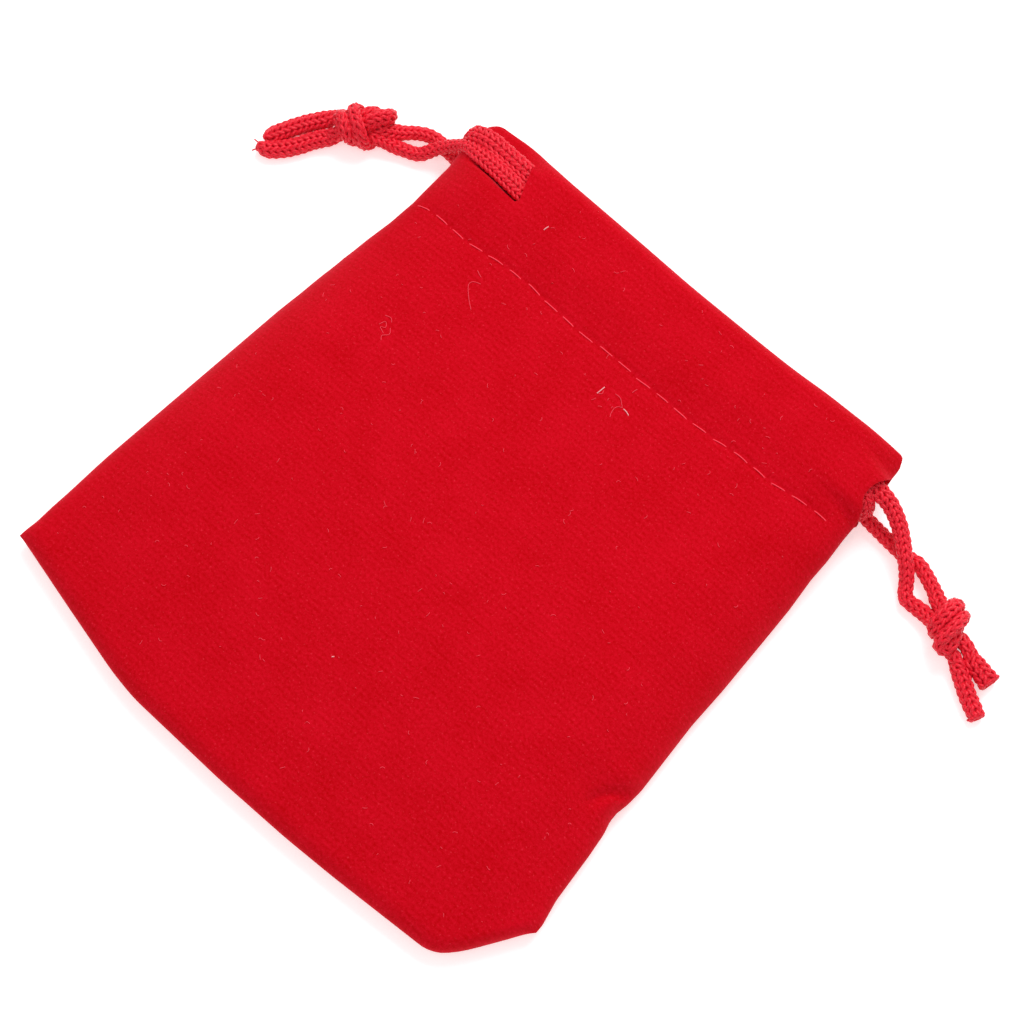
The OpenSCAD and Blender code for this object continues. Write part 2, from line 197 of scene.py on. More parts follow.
def side_frames(line: np.ndarray, first: np.ndarray) -> tuple[np.ndarray, np.ndarray]:
    """Carries a sideways direction along a line without twisting it.

    Args:
        line: The line's points.
        first: The direction at the line's start.

    Returns:
        The sideways and the upward direction at each point.
    """
    heading = unit_rows(np.gradient(line, axis=0))
    wide = np.zeros_like(line)
    last = first
    for i, t in enumerate(heading):
        last = last - (last @ t) * t
        last = last / np.linalg.norm(last)
        wide[i] = last
    return wide, np.cross(heading, wide)


def linear(hex_code: str) -> tuple[float, float, float, float]:
    """Turns an sRGB hex colour to the linear colour that shaders take."""
    parts = [int(hex_code[i:i + 2], 16) / 255 for i in (1, 3, 5)]
    return (*[c / 12.92 if c <= 0.04045 else ((c + 0.055) / 1.055) ** 2.4 for c in parts], 1.0)


def add_node(tree: bpy.types.NodeTree, kind: str, settings: dict | None = None,
             links: dict | None = None) -> bpy.types.Node:
    """Adds a node to a material.

    Args:
        tree: The material's node tree.
        kind: Name of the node's type, without "ShaderNode".
        settings: Values of its properties, or of its sockets by name or number.
        links: Output sockets that feed its sockets, by name or number.

    Returns:
        The node.
    """
    node = tree.nodes.new("ShaderNode" + kind)
    for key, value in (settings or {}).items():
        if isinstance(key, str) and hasattr(node, key):
            setattr(node, key, value)
        else:
            node.inputs[key].default_value = value
    for key, socket in (links or {}).items():
        tree.links.new(socket, node.inputs[key])
    return node


def new_material(name: str, on_cloth: bool = False
                 ) -> tuple[bpy.types.Material, bpy.types.NodeTree, bpy.types.NodeSocket]:
    """Makes an empty material and the coordinates of its patterns.

    Args:
        name: Name of the material.
        on_cloth: Whether patterns follow the cloth's UV map, not Object coordinates.

    Returns:
        The material, its nodes and coordinates in millimetres.
    """
    material = bpy.data.materials.new(name)
    material.use_nodes = True
    tree = material.node_tree
    tree.nodes.clear()
    if on_cloth:
        source, scale = add_node(tree, "UVMap", {"uv_map": "cloth"}).outputs[0], UV_SPAN
    else:
        source, scale = add_node(tree, "TexCoord").outputs["Object"], 1 / MM
    mm = add_node(tree, "Mapping", {"Scale": (scale, scale, scale)}, {"Vector": source})
    return material, tree, mm.outputs[0]


def finished(material: bpy.types.Material, settings: dict, links: dict) -> bpy.types.Material:
    """Closes a material with its shader.

    Args:
        material: The material.
        settings: Values of the shader's own sockets.
        links: Output sockets that feed the shader.

    Returns:
        The material.
    """
    shader = add_node(material.node_tree, "BsdfPrincipled", settings, links)
    add_node(material.node_tree, "OutputMaterial", links={"Surface": shader.outputs[0]})
    return material


def new_piece(name: str, bm: bmesh.types.BMesh, material: bpy.types.Material,
              sharp_deg: float = SHARP_DEG) -> bpy.types.Object:
    """Turns a bmesh in millimetres into a piece in metres.

    Args:
        name: Name of the piece.
        bm: Its mesh, which is freed.
        material: Its finish.
        sharp_deg: Angle from which an edge stays sharp.

    Returns:
        The piece.
    """
    bmesh.ops.scale(bm, vec=(MM, MM, MM), verts=bm.verts)
    mesh = bpy.data.meshes.new(name)
    bm.to_mesh(mesh)
    bm.free()
    mesh.shade_smooth()
    mesh.set_sharp_from_angle(angle=math.radians(sharp_deg))
    mesh.materials.append(material)
    piece = bpy.data.objects.new(name, mesh)
    bpy.context.scene.collection.objects.link(piece)
    return piece


# ------------------------------------------------------------------- finishes
@dataclass(frozen=True)
class Velvet:
    """Short-pile cotton-backed velvet, woven and sheared.

    The pile scatters light back at grazing angles, so rims look paler, and it
    shows fine ribs along the weft and soft patches where the nap leans.
    """

    name: str = "cotton_velvet"
    pile: str = "#cf0920"
    leaning: str = "#b60007"
    speck: str = "#e83446"
    rim: tuple[float, float, float, float] = (1.0, 0.16, 0.22, 1.0)
    rib_mm: float = 1.15
    patch_mm: float = 9.0
    tuft_mm: float = 0.5  # coarser than real pile, so that it shows
    speck_mm: float = 0.4
    pile_mm: float = 0.12

    def make(self) -> bpy.types.Material:
        """Builds the material.

        Returns:
            The material.
        """
        material, tree, mm = new_material(self.name, on_cloth=True)
        patches = add_node(tree, "TexNoise", {"Scale": 1 / self.patch_mm, "Detail": 4.0,
                                              "Roughness": 0.65}, {"Vector": mm})
        tufts = add_node(tree, "TexNoise", {"Scale": 1 / self.tuft_mm, "Detail": 3.0,
                                            "Roughness": 0.7}, {"Vector": mm})
        ribs = add_node(tree, "TexWave", {"bands_direction": "Y", "Scale": WAVE / self.rib_mm,
                                          "Distortion": 2.5, "Detail": 2.0,
                                          "Detail Scale": 1.5}, {"Vector": mm})
        relief = add_node(tree, "Math", {"operation": "MULTIPLY_ADD", 1: 0.08},
                          {0: ribs.outputs["Fac"], 2: tufts.outputs["Fac"]})
        spread = add_node(tree, "MapRange", {"From Min": 0.34, "From Max": 0.74},
                          {"Value": relief.outputs[0]})
        lean = add_node(tree, "Math", {"operation": "MULTIPLY_ADD", 1: 0.8},
                        {0: patches.outputs["Fac"], 2: spread.outputs[0]})
        shade = add_node(tree, "Math", {"operation": "SUBTRACT", 1: 0.4, "use_clamp": True},
                         {0: lean.outputs[0]})
        colour = add_node(tree, "Mix", {"data_type": "RGBA", 6: linear(self.leaning),
                                        7: linear(self.pile)}, {0: shade.outputs[0]})
        dots = add_node(tree, "TexNoise", {"Scale": 1 / self.speck_mm, "Detail": 1.0},
                        {"Vector": mm})
        share = add_node(tree, "MapRange", {"From Min": 0.64, "From Max": 0.8, "To Max": 0.45},
                         {"Value": dots.outputs["Fac"]})
        specked = add_node(tree, "Mix", {"data_type": "RGBA", 7: linear(self.speck)},
                           {0: share.outputs[0], 6: colour.outputs[2]})
        bump = add_node(tree, "Bump", {"Strength": 0.5, "Distance": self.pile_mm * MM},
                        {"Height": relief.outputs[0]})
        return finished(material,
                        {"Roughness": 0.95, "Specular IOR Level": 0.04, "Sheen Weight": 0.35,
                         "Sheen Roughness": 0.45, "Sheen Tint": self.rim},
                        {"Base Color": specked.outputs[2], "Normal": bump.outputs[0]})


@dataclass(frozen=True)
class VelvetBack:
    """The matt woven back of the velvet, as raw seam edges show it."""

    name: str = "velvet_ground_weave"
    warp: str = "#a8051a"
    weft: str = "#8c0414"
    thread_mm: float = 0.5

    def make(self) -> bpy.types.Material:
        """Builds the material.

        Returns:
            The material.
        """
        material, tree, mm = new_material(self.name, on_cloth=True)
        across, along = (add_node(tree, "TexWave", {"bands_direction": way,
                                                    "Scale": WAVE / self.thread_mm},
                                  {"Vector": mm}) for way in "XY")
        weave = add_node(tree, "Math", {"operation": "MULTIPLY"},
                         {0: across.outputs["Fac"], 1: along.outputs["Fac"]})
        colour = add_node(tree, "Mix", {"data_type": "RGBA", 6: linear(self.weft),
                                        7: linear(self.warp)}, {0: weave.outputs[0]})
        bump = add_node(tree, "Bump", {"Strength": 0.5, "Distance": 0.1 * MM},
                        {"Height": weave.outputs[0]})
        return finished(material, {"Roughness": 0.9, "Specular IOR Level": 0.1},
                        {"Base Color": colour.outputs[2], "Normal": bump.outputs[0]})


@dataclass(frozen=True)
class KnitYarn:
    """Textured polyester yarn, knitted round and slightly shiny on its bends."""

    name: str = "polyester_knit_yarn"
    light: str = "#f91f39"
    dark: str = "#d0051d"
    rim: tuple[float, float, float, float] = (1.0, 0.3, 0.35, 1.0)
    fibre_mm: float = 0.3

    def make(self) -> bpy.types.Material:
        """Builds the material.

        Returns:
            The material.
        """
        material, tree, mm = new_material(self.name)
        fibres = add_node(tree, "TexNoise", {"Scale": 1 / self.fibre_mm, "Detail": 2.0},
                          {"Vector": mm})
        spread = add_node(tree, "MapRange", {"From Min": 0.35, "From Max": 0.65},
                          {"Value": fibres.outputs["Fac"]})
        colour = add_node(tree, "Mix", {"data_type": "RGBA", 6: linear(self.dark),
                                        7: linear(self.light)}, {0: spread.outputs[0]})
        bump = add_node(tree, "Bump", {"Strength": 0.4, "Distance": 0.05 * MM},
                        {"Height": fibres.outputs["Fac"]})
        return finished(material, {"Roughness": 0.45, "Specular IOR Level": 0.3,
                                   "Sheen Weight": 0.08, "Sheen Tint": self.rim},
                        {"Base Color": colour.outputs[2], "Normal": bump.outputs[0]})


@dataclass(frozen=True)
class Plain:
    """Sewing thread, loose fibres and the floor: one colour with a fine grain."""

    name: str
    light: str
    dark: str
    grain_mm: float
    roughness: float = 0.7
    gloss: float = 0.2
    glow: float = 0.0

    def make(self) -> bpy.types.Material:
        """Builds the material.

        Returns:
            The material.
        """
        material, tree, mm = new_material(self.name)
        grain = add_node(tree, "TexNoise", {"Scale": 1 / self.grain_mm, "Detail": 2.0},
                         {"Vector": mm})
        colour = add_node(tree, "Mix", {"data_type": "RGBA", 6: linear(self.dark),
                                        7: linear(self.light)}, {0: grain.outputs["Fac"]})
        return finished(material, {"Roughness": self.roughness,
                                   "Specular IOR Level": self.gloss,
                                   "Emission Strength": self.glow},
                        {"Base Color": colour.outputs[2]})


# ---------------------------------------------------------------- pouch shape
@dataclass(frozen=True)
class PouchShape:
    """Sizes of the sewn pouch and the surfaces that its cloth follows.

    A pair of left and right, or of front and back, is in that order.
    """

    # the outline
    length: float = 118.0
    bottom_half: float = 54.5
    mouth_half: float = 46.8
    corner_y: Two = (-51.3, -42.5)
    bulge: float = 0.42  # of the left side
    bulge_y: Three = (-30.0, 10.0, 14.0)  # from, to and fading over
    bottom_edge: Table = (
        (-54.5, -51.5), (-40.9, -54.7), (-30.0, -57.2), (-26.0, -58.1), (-20.5, -58.9),
        (0.0, -59.3), (14.0, -59.1), (24.0, -58.6), (44.0, -57.1), (46.8, -54.95),
        (49.2, -51.2), (54.7, -42.2))
    mouth_edge: Table = (
        (-46.0, 57.7), (-41.5, 57.85), (-36.0, 58.3), (-29.5, 57.4), (-12.0, 57.1), (0.0, 56.8),
        (15.0, 56.85), (24.0, 57.05), (30.0, 57.55), (36.0, 57.6), (42.0, 57.95), (46.0, 58.0))
    side_edges: tuple[Table, Table] = (
        ((-51.5, 0.0), (-48.0, -0.2), (-44.0, 0.0), (7.0, 0.0), (12.0, -0.18), (17.0, -0.08),
         (22.0, -0.15), (27.0, -0.6), (32.0, -1.3), (37.0, -1.6), (42.0, -1.3), (46.3, -0.95),
         (48.6, -0.4), (51.0, 0.0), (54.0, 0.4)),
        ((-41.5, 0.85), (-37.0, 0.1), (-28.0, -0.25), (-23.8, -0.55), (-21.2, -1.1),
         (-19.4, -1.05), (-17.2, -0.55), (-14.0, -0.2), (0.0, -0.4), (8.0, 0.0), (20.0, 0.2),
         (26.0, 0.35), (32.0, 0.2), (36.0, 0.45), (40.0, 0.4), (44.0, 0.65), (45.6, 0.2),
         (46.8, -0.8), (48.5, -0.9), (50.5, -0.5), (52.2, 0.3), (54.0, 0.5)))
    # the seams and the swell
    seam_z: float = 3.0
    mouth_seam_z: float = 6.3
    seam_rise_y: Two = (18.0, 43.0)
    roll_d: float = 3.0
    roll_h: float = 2.2
    body_top: float = 11.0
    puff_side: float = 16.0
    puff_bottom: float = 60.0
    hem_top: float = 12.4
    hem_low: float = 0.35
    end_span: float = 11.5
    end_lip: Three = (0.14, 1.3, 2.2)  # share and reach of the end's round rim, and its curve
    hem_rise: tuple[Two, Two] = ((-2.0, 9.0), (-1.0, 3.0))  # from and to past the stitches
    calm_side: Two = (0.5, 6.0)  # groove and waves fade in between these from a side seam
    calm_bottom: Two = (1.0, 8.0)  # and between these from the bottom seam
    calm_crease: Two = (0.0, 1.4)  # the crease does from the side seam
    # the hem's stitches, their groove and its puckers
    stitch_y: float = 37.4
    stitches: Table = (
        (-47.0, 36.5), (-42.0, 37.0), (-36.0, 36.5), (-32.0, 36.5), (-28.0, 37.2), (-21.0, 37.7),
        (-13.0, 37.2), (-8.0, 36.9), (-4.5, 37.3), (6.0, 37.3), (20.0, 37.6), (27.0, 38.4),
        (34.0, 38.4), (46.0, 40.2))
    groove: Two = (0.22, 0.8)  # depth and half width
    pucker: Three = (0.07, 3.9, 2.2)  # height, pitch and reach
    # the folded mouth and its facing
    lip_gap: float = 1.0
    lip_long: float = 3.2
    lip_thick: float = 2.0
    lip_reach: float = 9.0
    facing_z: float = 2.2
    facing_inset: float = 1.5
    facing_t: float = 0.8
    cloth_t: float = 0.9
    layer_gap: float = 0.12
    middle_gap: Two = (0.1, 0.08)  # the usual and the least
    # the slit that the left cord leaves by, and the port of the right one
    slit_u: float = 0.694
    slit_y: Two = (47.5, 54.9)
    press_x: Two = (31.5, 39.5)  # the cords press the end flat between these, leftwards
    press_lip_x: Two = (29.0, 39.5)  # the same beside the mouth
    press_top: float = 57.4
    press_slant: Three = (0.09, 33.0, 12.0)  # slope, start and reach of the lower limit
    slit_end_x: Two = (37.0, 40.0)
    slit_rim: Three = (0.3, 1.3, 1.1)  # inset below, inset above and fading
    pressed_z: Two = (9.2, 3.4)
    port_y: Two = (44.0, 53.2)
    port_z: Two = (10.8, 1.6)
    back_shift: float = 1.8
    # the crease on the right side: its valley, and its swells by height, place and reach
    crease_line: tuple[Point, ...] = (
        (48.0, -21.2, 0.0), (48.6, -19.5, 0.0), (49.4, -18.2, 0.0), (50.6, -17.1, 0.0),
        (52.3, -16.7, 0.0))
    valley: Two = (0.85, 0.95)  # depth and half width
    swells: tuple[tuple[float, ...], ...] = ((0.55, 50.6, -20.4, 1.5, 1.9),
                                             (0.45, 49.2, -14.8, 2.4, 1.8))
    # faint waves of the lying cloth: height, turns along X and along Y, and start
    waves: tuple[tuple[float, ...], ...] = (
        (0.10, 0.11, 0.05, 0.6), (0.08, -0.15, 0.07, 0.0), (0.05, 0.31, 0.19, 0.0),
        (0.03, -0.23, 0.52, 1.0))

    def bottom_y(self, x: np.ndarray) -> np.ndarray:
        """Line of the bottom seam, with its corners rounded a little."""
        return eased(x, self.bottom_edge, 1.6, 5)

    def mouth_line(self, x: np.ndarray) -> np.ndarray:
        """Distance of the mouth's folded edge from the pouch's middle at each x."""
        return eased(x, self.mouth_edge, 3.0, 5)

    def stitch_line(self, x: np.ndarray) -> np.ndarray:
        """Distance of the hem stitches from the pouch's middle at each x."""
        return eased(x, self.stitches, 1.0, 3)

    def half_width(self, side: Side, y: np.ndarray) -> np.ndarray:
        """Distance of a side seam from the middle line at each y.

        Args:
            side: Which side seam.
            y: Places along the pouch.

        Returns:
            The distances.
        """
        half = np.interp(y, [side.pick(self.corner_y), self.length / 2],
                         [self.bottom_half, self.mouth_half])
        if side is Side.LEFT:
            half = half + self.bulge * hump(y, *self.bulge_y)
        return half + np.interp(y, *zip(*side.pick(self.side_edges)))

    def edge_z(self, side: Side, face: Face, y: np.ndarray) -> np.ndarray:
        """Height of a cloth's side edge, which parts at the right cord's port.

        Args:
            side: Which half.
            face: Which cloth.
            y: Places along the pouch.

        Returns:
            The heights.
        """
        seam = self.seam_z + (self.mouth_seam_z - self.seam_z) * ramp(y, *self.seam_rise_y)
        if side is Side.LEFT:
            return seam
        low, high = self.port_y
        middle, half = (low + high) / 2, (high - low) / 2 + 0.2
        open_part = np.sqrt(np.clip(1 - ((y - middle) / half) ** 2, 0.0, 1.0))
        return seam + (face.pick(self.port_z) - seam) * open_part

    def strand_dip(self, x: np.ndarray, y: np.ndarray, under: np.ndarray) -> np.ndarray:
        """Share, 0 to 1, by which the left end is pressed flat under the cords.

        Args:
            x: Places across the pouch.
            y: Places along it.
            under: 1 for cloth that lies under the cords at the slit, else 0.

        Returns:
            The shares.
        """
        low, high = self.slit_y
        below, above, fading = self.slit_rim
        share = ramp(-x, *self.press_x)
        at_slit = hump(y, low + below, high - above, fading)
        share = share + (under - share) * at_slit * (1 - ramp(-x, *self.slit_end_x))
        share = share + (ramp(-x, *self.press_lip_x) - share) * ramp(y, high - 1.0, high - 0.1)
        slope, start, reach = self.press_slant
        limit = low + slope * np.clip(-x - start, 0.0, reach)
        return share * ramp(y, limit - 0.6, limit + 0.7) * (
            1 - ramp(y, high + 0.2, self.press_top))

    def roll(self, d: np.ndarray) -> np.ndarray:
        """Cloth rolling over a seam, from 0 at the seam to 1."""
        return np.sqrt(1 - (1 - np.clip(d / self.roll_d, 0, 1)) ** 2)

    def swell(self, d: np.ndarray, span: float) -> np.ndarray:
        """Cloth swelling away from a seam, from 0 at the seam to 1."""
        return 1 - (1 - np.clip(d / span, 0, 1)) ** 2

    def end_profile(self, d: np.ndarray) -> np.ndarray:
        """Share of the hem's full height at a distance from a side edge."""
        share, reach, power = self.end_lip
        t = np.clip(d / self.end_span, 0, 1)
        return share * self.roll(d / reach * self.roll_d) + (1 - share) * (1 - (1 - t) ** power)

    def side_distance(self, side: Side, x: np.ndarray, y: np.ndarray) -> np.ndarray:
        """Distance of each place from its side seam."""
        return np.maximum(self.half_width(side, y) - np.abs(x), 0.0)

    def outer_z(self, side: Side, face: Face, x: np.ndarray, y: np.ndarray,
                low_d: np.ndarray, under: np.ndarray) -> np.ndarray:
        """Height of a cloth's outer face.

        Args:
            side: Which half.
            face: Which cloth.
            x: Places across the pouch.
            y: Places along it.
            low_d: Distance of each place from the bottom seam.
            under: 1 for cloth that lies under the cords at the slit, else 0.

        Returns:
            The heights.
        """
        side_d, edge = self.side_distance(side, x, y), self.edge_z(side, face, y)
        rolled = self.roll(side_d) * self.roll(low_d)
        gap = y - self.stitch_line(x)
        if face is Face.BACK:
            body = edge - edge * rolled
            hem = edge + (self.hem_low - edge) * self.end_profile(side_d)
            low = body + (hem - body) * ramp(gap, *face.pick(self.hem_rise))
            if side is Side.LEFT:
                dip = self.strand_dip(x, y + self.back_shift, under)
                low = low + dip * np.maximum(face.pick(self.pressed_z) - low, 0.0)
            return low
        body = edge + self.roll_h * rolled + (self.body_top - self.roll_h - edge) * (
            self.swell(side_d, self.puff_side) * self.swell(low_d, self.puff_bottom))
        hem = edge + (self.hem_top - edge) * self.end_profile(side_d)
        inner = ramp(side_d, *self.calm_side)
        depth, wide = self.groove
        top = (body + (hem - body) * ramp(gap, *face.pick(self.hem_rise))
               - depth * np.exp(-(gap / wide) ** 2) * inner)
        height, pitch, reach = self.pucker
        pucker = np.cos(2 * np.pi * x / pitch) * np.exp(-np.abs(gap) / reach)
        waves = sum(h * np.sin(a * x + b * y + c) for h, a, b, c in self.waves)
        top = top + (height * pucker + waves) * inner * ramp(low_d, *self.calm_bottom)
        if side is Side.RIGHT:
            return top + self.crease(x, y) * ramp(side_d, *self.calm_crease)
        dip = self.strand_dip(x, y, under)
        return top - dip * np.maximum(top - face.pick(self.pressed_z), 0.0)

    def crease(self, x: np.ndarray, y: np.ndarray) -> np.ndarray:
        """Height of the small fold that runs inwards from the right side's kink.

        Args:
            x: Places across the pouch.
            y: Places along it.

        Returns:
            The heights, below 0 in the fold's valley.
        """
        fold = smooth_line(self.crease_line, 0.3)
        far = np.hypot(x[..., None] - fold[:, 0], y[..., None] - fold[:, 1]).min(axis=-1)
        raised = sum(h * np.exp(-((x - at_x) / wide) ** 2 - ((y - at_y) / long) ** 2)
                     for h, at_x, at_y, wide, long in self.swells)
        depth, half = self.valley
        return raised - depth * np.exp(-(far / half) ** 2)

    def facing_height(self, side: Side, face: Face, x: np.ndarray, y: np.ndarray,
                      outer: np.ndarray) -> np.ndarray:
        """Height of the turned-in facing's free side.

        Args:
            side: Which half.
            face: Which cloth.
            x: Places across the pouch.
            y: Places along it.
            outer: Height of the cloth's outer face there.

        Returns:
            The heights.
        """
        usual, least = self.middle_gap
        lip = ramp(self.mouth_line(x) - y, 0.0, self.lip_reach)
        rise = self.lip_gap / 2 + (self.facing_z - self.lip_gap / 2) * lip
        free = self.mouth_seam_z + face.value * (
            usual + rise * self.end_profile(self.side_distance(side, x, y)))
        at_cloth = outer - face.value * (self.cloth_t + self.facing_t + self.layer_gap)
        if face is Face.FRONT:
            return np.maximum(np.minimum(free, at_cloth), self.mouth_seam_z + least)
        return np.minimum(np.maximum(free, at_cloth), self.mouth_seam_z - least)


@dataclass
class ClothHalf:
    """One half of the front or back cloth: panel, hem, fold and facing in one."""

    shape: PouchShape
    side: Side
    face: Face
    finish: bpy.types.Material
    grid_mm: float = 0.85
    across: float = 48.0  # about the half width and the panel's length, for its grid
    panel_long: float = 97.0
    hem_long: float = 13.0
    fine_long: float = 4.0  # rows are closer here, below the stitches
    even_long: float = 90.0  # and even on about this much of the panel
    hem_fine: float = 0.2  # share of the hem with closer rows
    fine_rows: tuple[int, ...] = (11, 9, 15, 22)  # below and above the stitches, fold, facing
    corner_r: Two = (3.7, 1.5)
    fold_long: float = 9.0
    facing_past: float = 3.4  # how far the facing reaches past the stitches
    uv_half: float = 50.0
    slit_open: float = 2.2
    slit_sink: float = 0.15
    slit_slant: Two = (51.0, 0.36)  # where it turns along Y, and its slope
    slit_near: Three = (0.67, 0.72, 0.2)  # shares of the half width that slant with it
    port_clear: float = 3.6  # how far the facing keeps off the port

    def columns(self) -> np.ndarray:
        """Places of the columns, close together near the side seam.

        Returns:
            Shares of the half width, from the middle line outwards.
        """
        slit, near = self.shape.slit_u, 1 - self.shape.roll_d / self.across
        inner = np.linspace(0, slit, round(slit * self.across / self.grid_mm) + 1)
        outer = np.linspace(slit, near, round((near - slit) * self.across / self.grid_mm) + 1)
        turn = 1 - (1 - near) * (1 - np.sin(np.linspace(0, np.pi / 2, 8)))
        return np.concatenate([inner, outer[1:], turn[1:]])

    def rows(self) -> list[tuple[Zone, float]]:
        """Zones and places of the rows, from the bottom seam round to the facing.

        Returns:
            The zone of each row, and its share of the way through that zone.
        """
        turn = (1 - np.cos(np.linspace(0, np.pi / 2, 8))) * self.shape.roll_d / self.panel_long
        fine = 1 - self.fine_long / self.panel_long
        even = round(self.even_long / self.grid_mm)
        below, above, fold, facing = self.fine_rows
        hem_even = round(self.hem_long / (0.8 * self.grid_mm))
        parts = {
            Zone.PANEL: [turn, np.linspace(turn[-1], fine, even)[1:],
                         np.linspace(fine, 1, below)[1:]],
            Zone.HEM: [np.linspace(0, self.hem_fine, above)[1:],
                       np.linspace(self.hem_fine, 1, hem_even)[1:]],
            Zone.FOLD: [np.linspace(0, 1, fold)[1:]],
            Zone.FACING: [np.linspace(0, 1, facing)[1:]]}
        return [(zone, v) for zone, part in parts.items() for v in np.concatenate(part)]

    def rounded(self, x: np.ndarray, y: np.ndarray) -> tuple[np.ndarray, np.ndarray]:
        """Rounds the mouth's outer corner, as a square is drawn into a disc.

        Args:
            x: Places across the pouch.
            y: Places along it.

        Returns:
            The places, moved inwards near the corner.
        """
        r = self.side.pick(self.corner_r)
        half = self.shape.half_width(self.side, np.array(56.0))
        mouth = self.shape.mouth_line(np.array(self.side.value * half))
        a = np.clip((np.abs(x) - (half - r)) / r, 0, 1)
        b = np.clip((y - (mouth - r)) / r, 0, 1)
        x = x - np.sign(x) * r * a * (1 - np.sqrt(1 - b * b / 2))
        return x, y - r * b * (1 - np.sqrt(1 - a * a / 2))

    def lay_out(self, u: np.ndarray, zone: Zone, v: float,
                under: float) -> tuple[np.ndarray, np.ndarray]:
        """Places one row of the cloth.

        Args:
            u: Shares of the half width.
            zone: The row's zone.
            v: Its place in the zone.
            under: 1 for cloth that lies under the cords at the slit, else 0.

        Returns:
            Points of the outer face, and their distance along the cloth.
        """
        shape, sign = self.shape, self.side.value
        stitch = shape.stitch_y
        y_low = shape.bottom_y(sign * u * shape.bottom_half)
        mouth = shape.mouth_line(sign * u * shape.mouth_half)
        nose = mouth - shape.lip_long
        inner_start = mouth - shape.lip_thick / 2
        if zone is Zone.PANEL:
            y = reach = y_low + (stitch - y_low) * v
        elif zone is Zone.HEM:
            y = reach = stitch + (nose - stitch) * v
        elif zone is Zone.FOLD:
            y, reach = nose, nose + self.fold_long * v
        else:
            y = inner_start + (stitch - self.facing_past - inner_start) * v
            reach = nose + (self.fold_long + (nose - y))
        inset = shape.facing_inset * {Zone.FOLD: v, Zone.FACING: 1.0}.get(zone, 0.0)
        x = sign * u * (shape.half_width(self.side, y) - inset)
        low_d = y - y_low
        if self.side is Side.LEFT:
            middle, slope = self.slit_slant
            x = x - (y - middle) * slope * hump(y, *shape.slit_y, 4.0) * hump(u, *self.slit_near)
        elif zone is Zone.FACING:
            x = x - self.port_clear * hump(y, *shape.port_y, 1.5) * ramp(u, 0.8, 1.0)
        z = outer = shape.outer_z(self.side, self.face, x, y, low_d, np.full_like(u, under))
        if zone is Zone.FACING:
            z = shape.facing_height(self.side, self.face, x, y, outer)
        elif zone is Zone.FOLD:
            away = self.face.value * shape.lip_thick / 2
            tip = shape.facing_height(self.side, self.face, x, inner_start, outer) + away
            height = np.where(v < 0.5, outer - tip, away)
            long = np.where(v < 0.5, shape.lip_long, shape.lip_thick / 2)
            y = mouth - long * (1 - math.sin(np.pi * v))
            z = tip + height * math.cos(np.pi * v)
        x, y = self.rounded(x, y)
        return np.stack([x, y, z], axis=1), reach

    def slit_rows(self, rows: list[tuple[Zone, float]]) -> tuple[int, int]:
        """Finds the slit in the left half's hem.

        Args:
            rows: Zones and places of the rows.

        Returns:
            Numbers of its first and last row.
        """
        shape = self.shape
        shift = self.face.pick((0.0, shape.back_shift))
        nose = shape.mouth_line(np.array(-33.0)) - shape.lip_long
        low, high = shape.slit_y[0] - shift, min(shape.slit_y[1] - shift, nose - 0.5)
        inside = [j for j, (zone, v) in enumerate(rows) if zone is Zone.HEM
                  and low <= shape.stitch_y + (nose - shape.stitch_y) * v <= high]
        return inside[0], inside[-1]

    def build(self) -> bpy.types.Object:
        """Makes the half as one sheet with its thickness.

        Returns:
            The piece.
        """
        u, rows = self.columns(), self.rows()
        nc, nr = len(u), len(rows)
        bm = bmesh.new()
        bmesh.ops.create_grid(bm, x_segments=nc - 1, y_segments=nr - 1, size=0.5)
        col = bm.verts.layers.int.new("col")
        row = bm.verts.layers.int.new("row")
        for vert in bm.verts:
            vert[col] = round((vert.co.x + 0.5) * (nc - 1))
            vert[row] = round((vert.co.y + 0.5) * (nr - 1))
        slit_col = int(np.argmin(np.abs(u - self.shape.slit_u)))
        first = last = -1
        if self.side is Side.LEFT:
            first, last = self.slit_rows(rows)
            cut = [e for e in bm.edges if all(w[col] == slit_col and first <= w[row] <= last
                                              for w in e.verts)]
            bmesh.ops.split_edges(bm, edges=cut)
        for vert in bm.verts:  # cloth past the slit lies under the cords
            centre = np.mean([f.calc_center_median().x for f in vert.link_faces])
            on_cut = vert[col] == slit_col and first < vert[row] < last
            vert.tag = bool(vert[col] > slit_col or (on_cut and centre > vert.co.x))
        over, under = ([self.lay_out(u, zone, v, share) for zone, v in rows]
                       for share in (0.0, 1.0))
        uv = bm.loops.layers.uv.new("cloth")
        for loop in (loop for face in bm.faces for loop in face.loops):
            i, j = loop.vert[col], loop.vert[row]
            loop[uv].uv = (0.5 + self.side.value * u[i] * self.uv_half / UV_SPAN,
                           0.5 + over[j][1][i] / UV_SPAN)
        for vert in bm.verts:
            i, j = vert[col], vert[row]
            place = (under if vert.tag else over)[j][0][i].copy()
            if vert.tag and i == slit_col:
                place += (self.slit_open, 0.0, -self.slit_sink * self.face.value)
            vert.co = place
        if (self.face is Face.FRONT) != (self.side is Side.RIGHT):
            bmesh.ops.reverse_faces(bm, faces=bm.faces)
        piece = new_piece(f"{self.face.tag}_cloth_{self.side.tag}", bm, self.finish)
        solid = piece.modifiers.new("thickness", "SOLIDIFY")
        solid.thickness = self.shape.cloth_t * 0.9 * MM
        solid.offset = -1.0
        solid.use_even_offset = False
        settle(piece)
        return piece


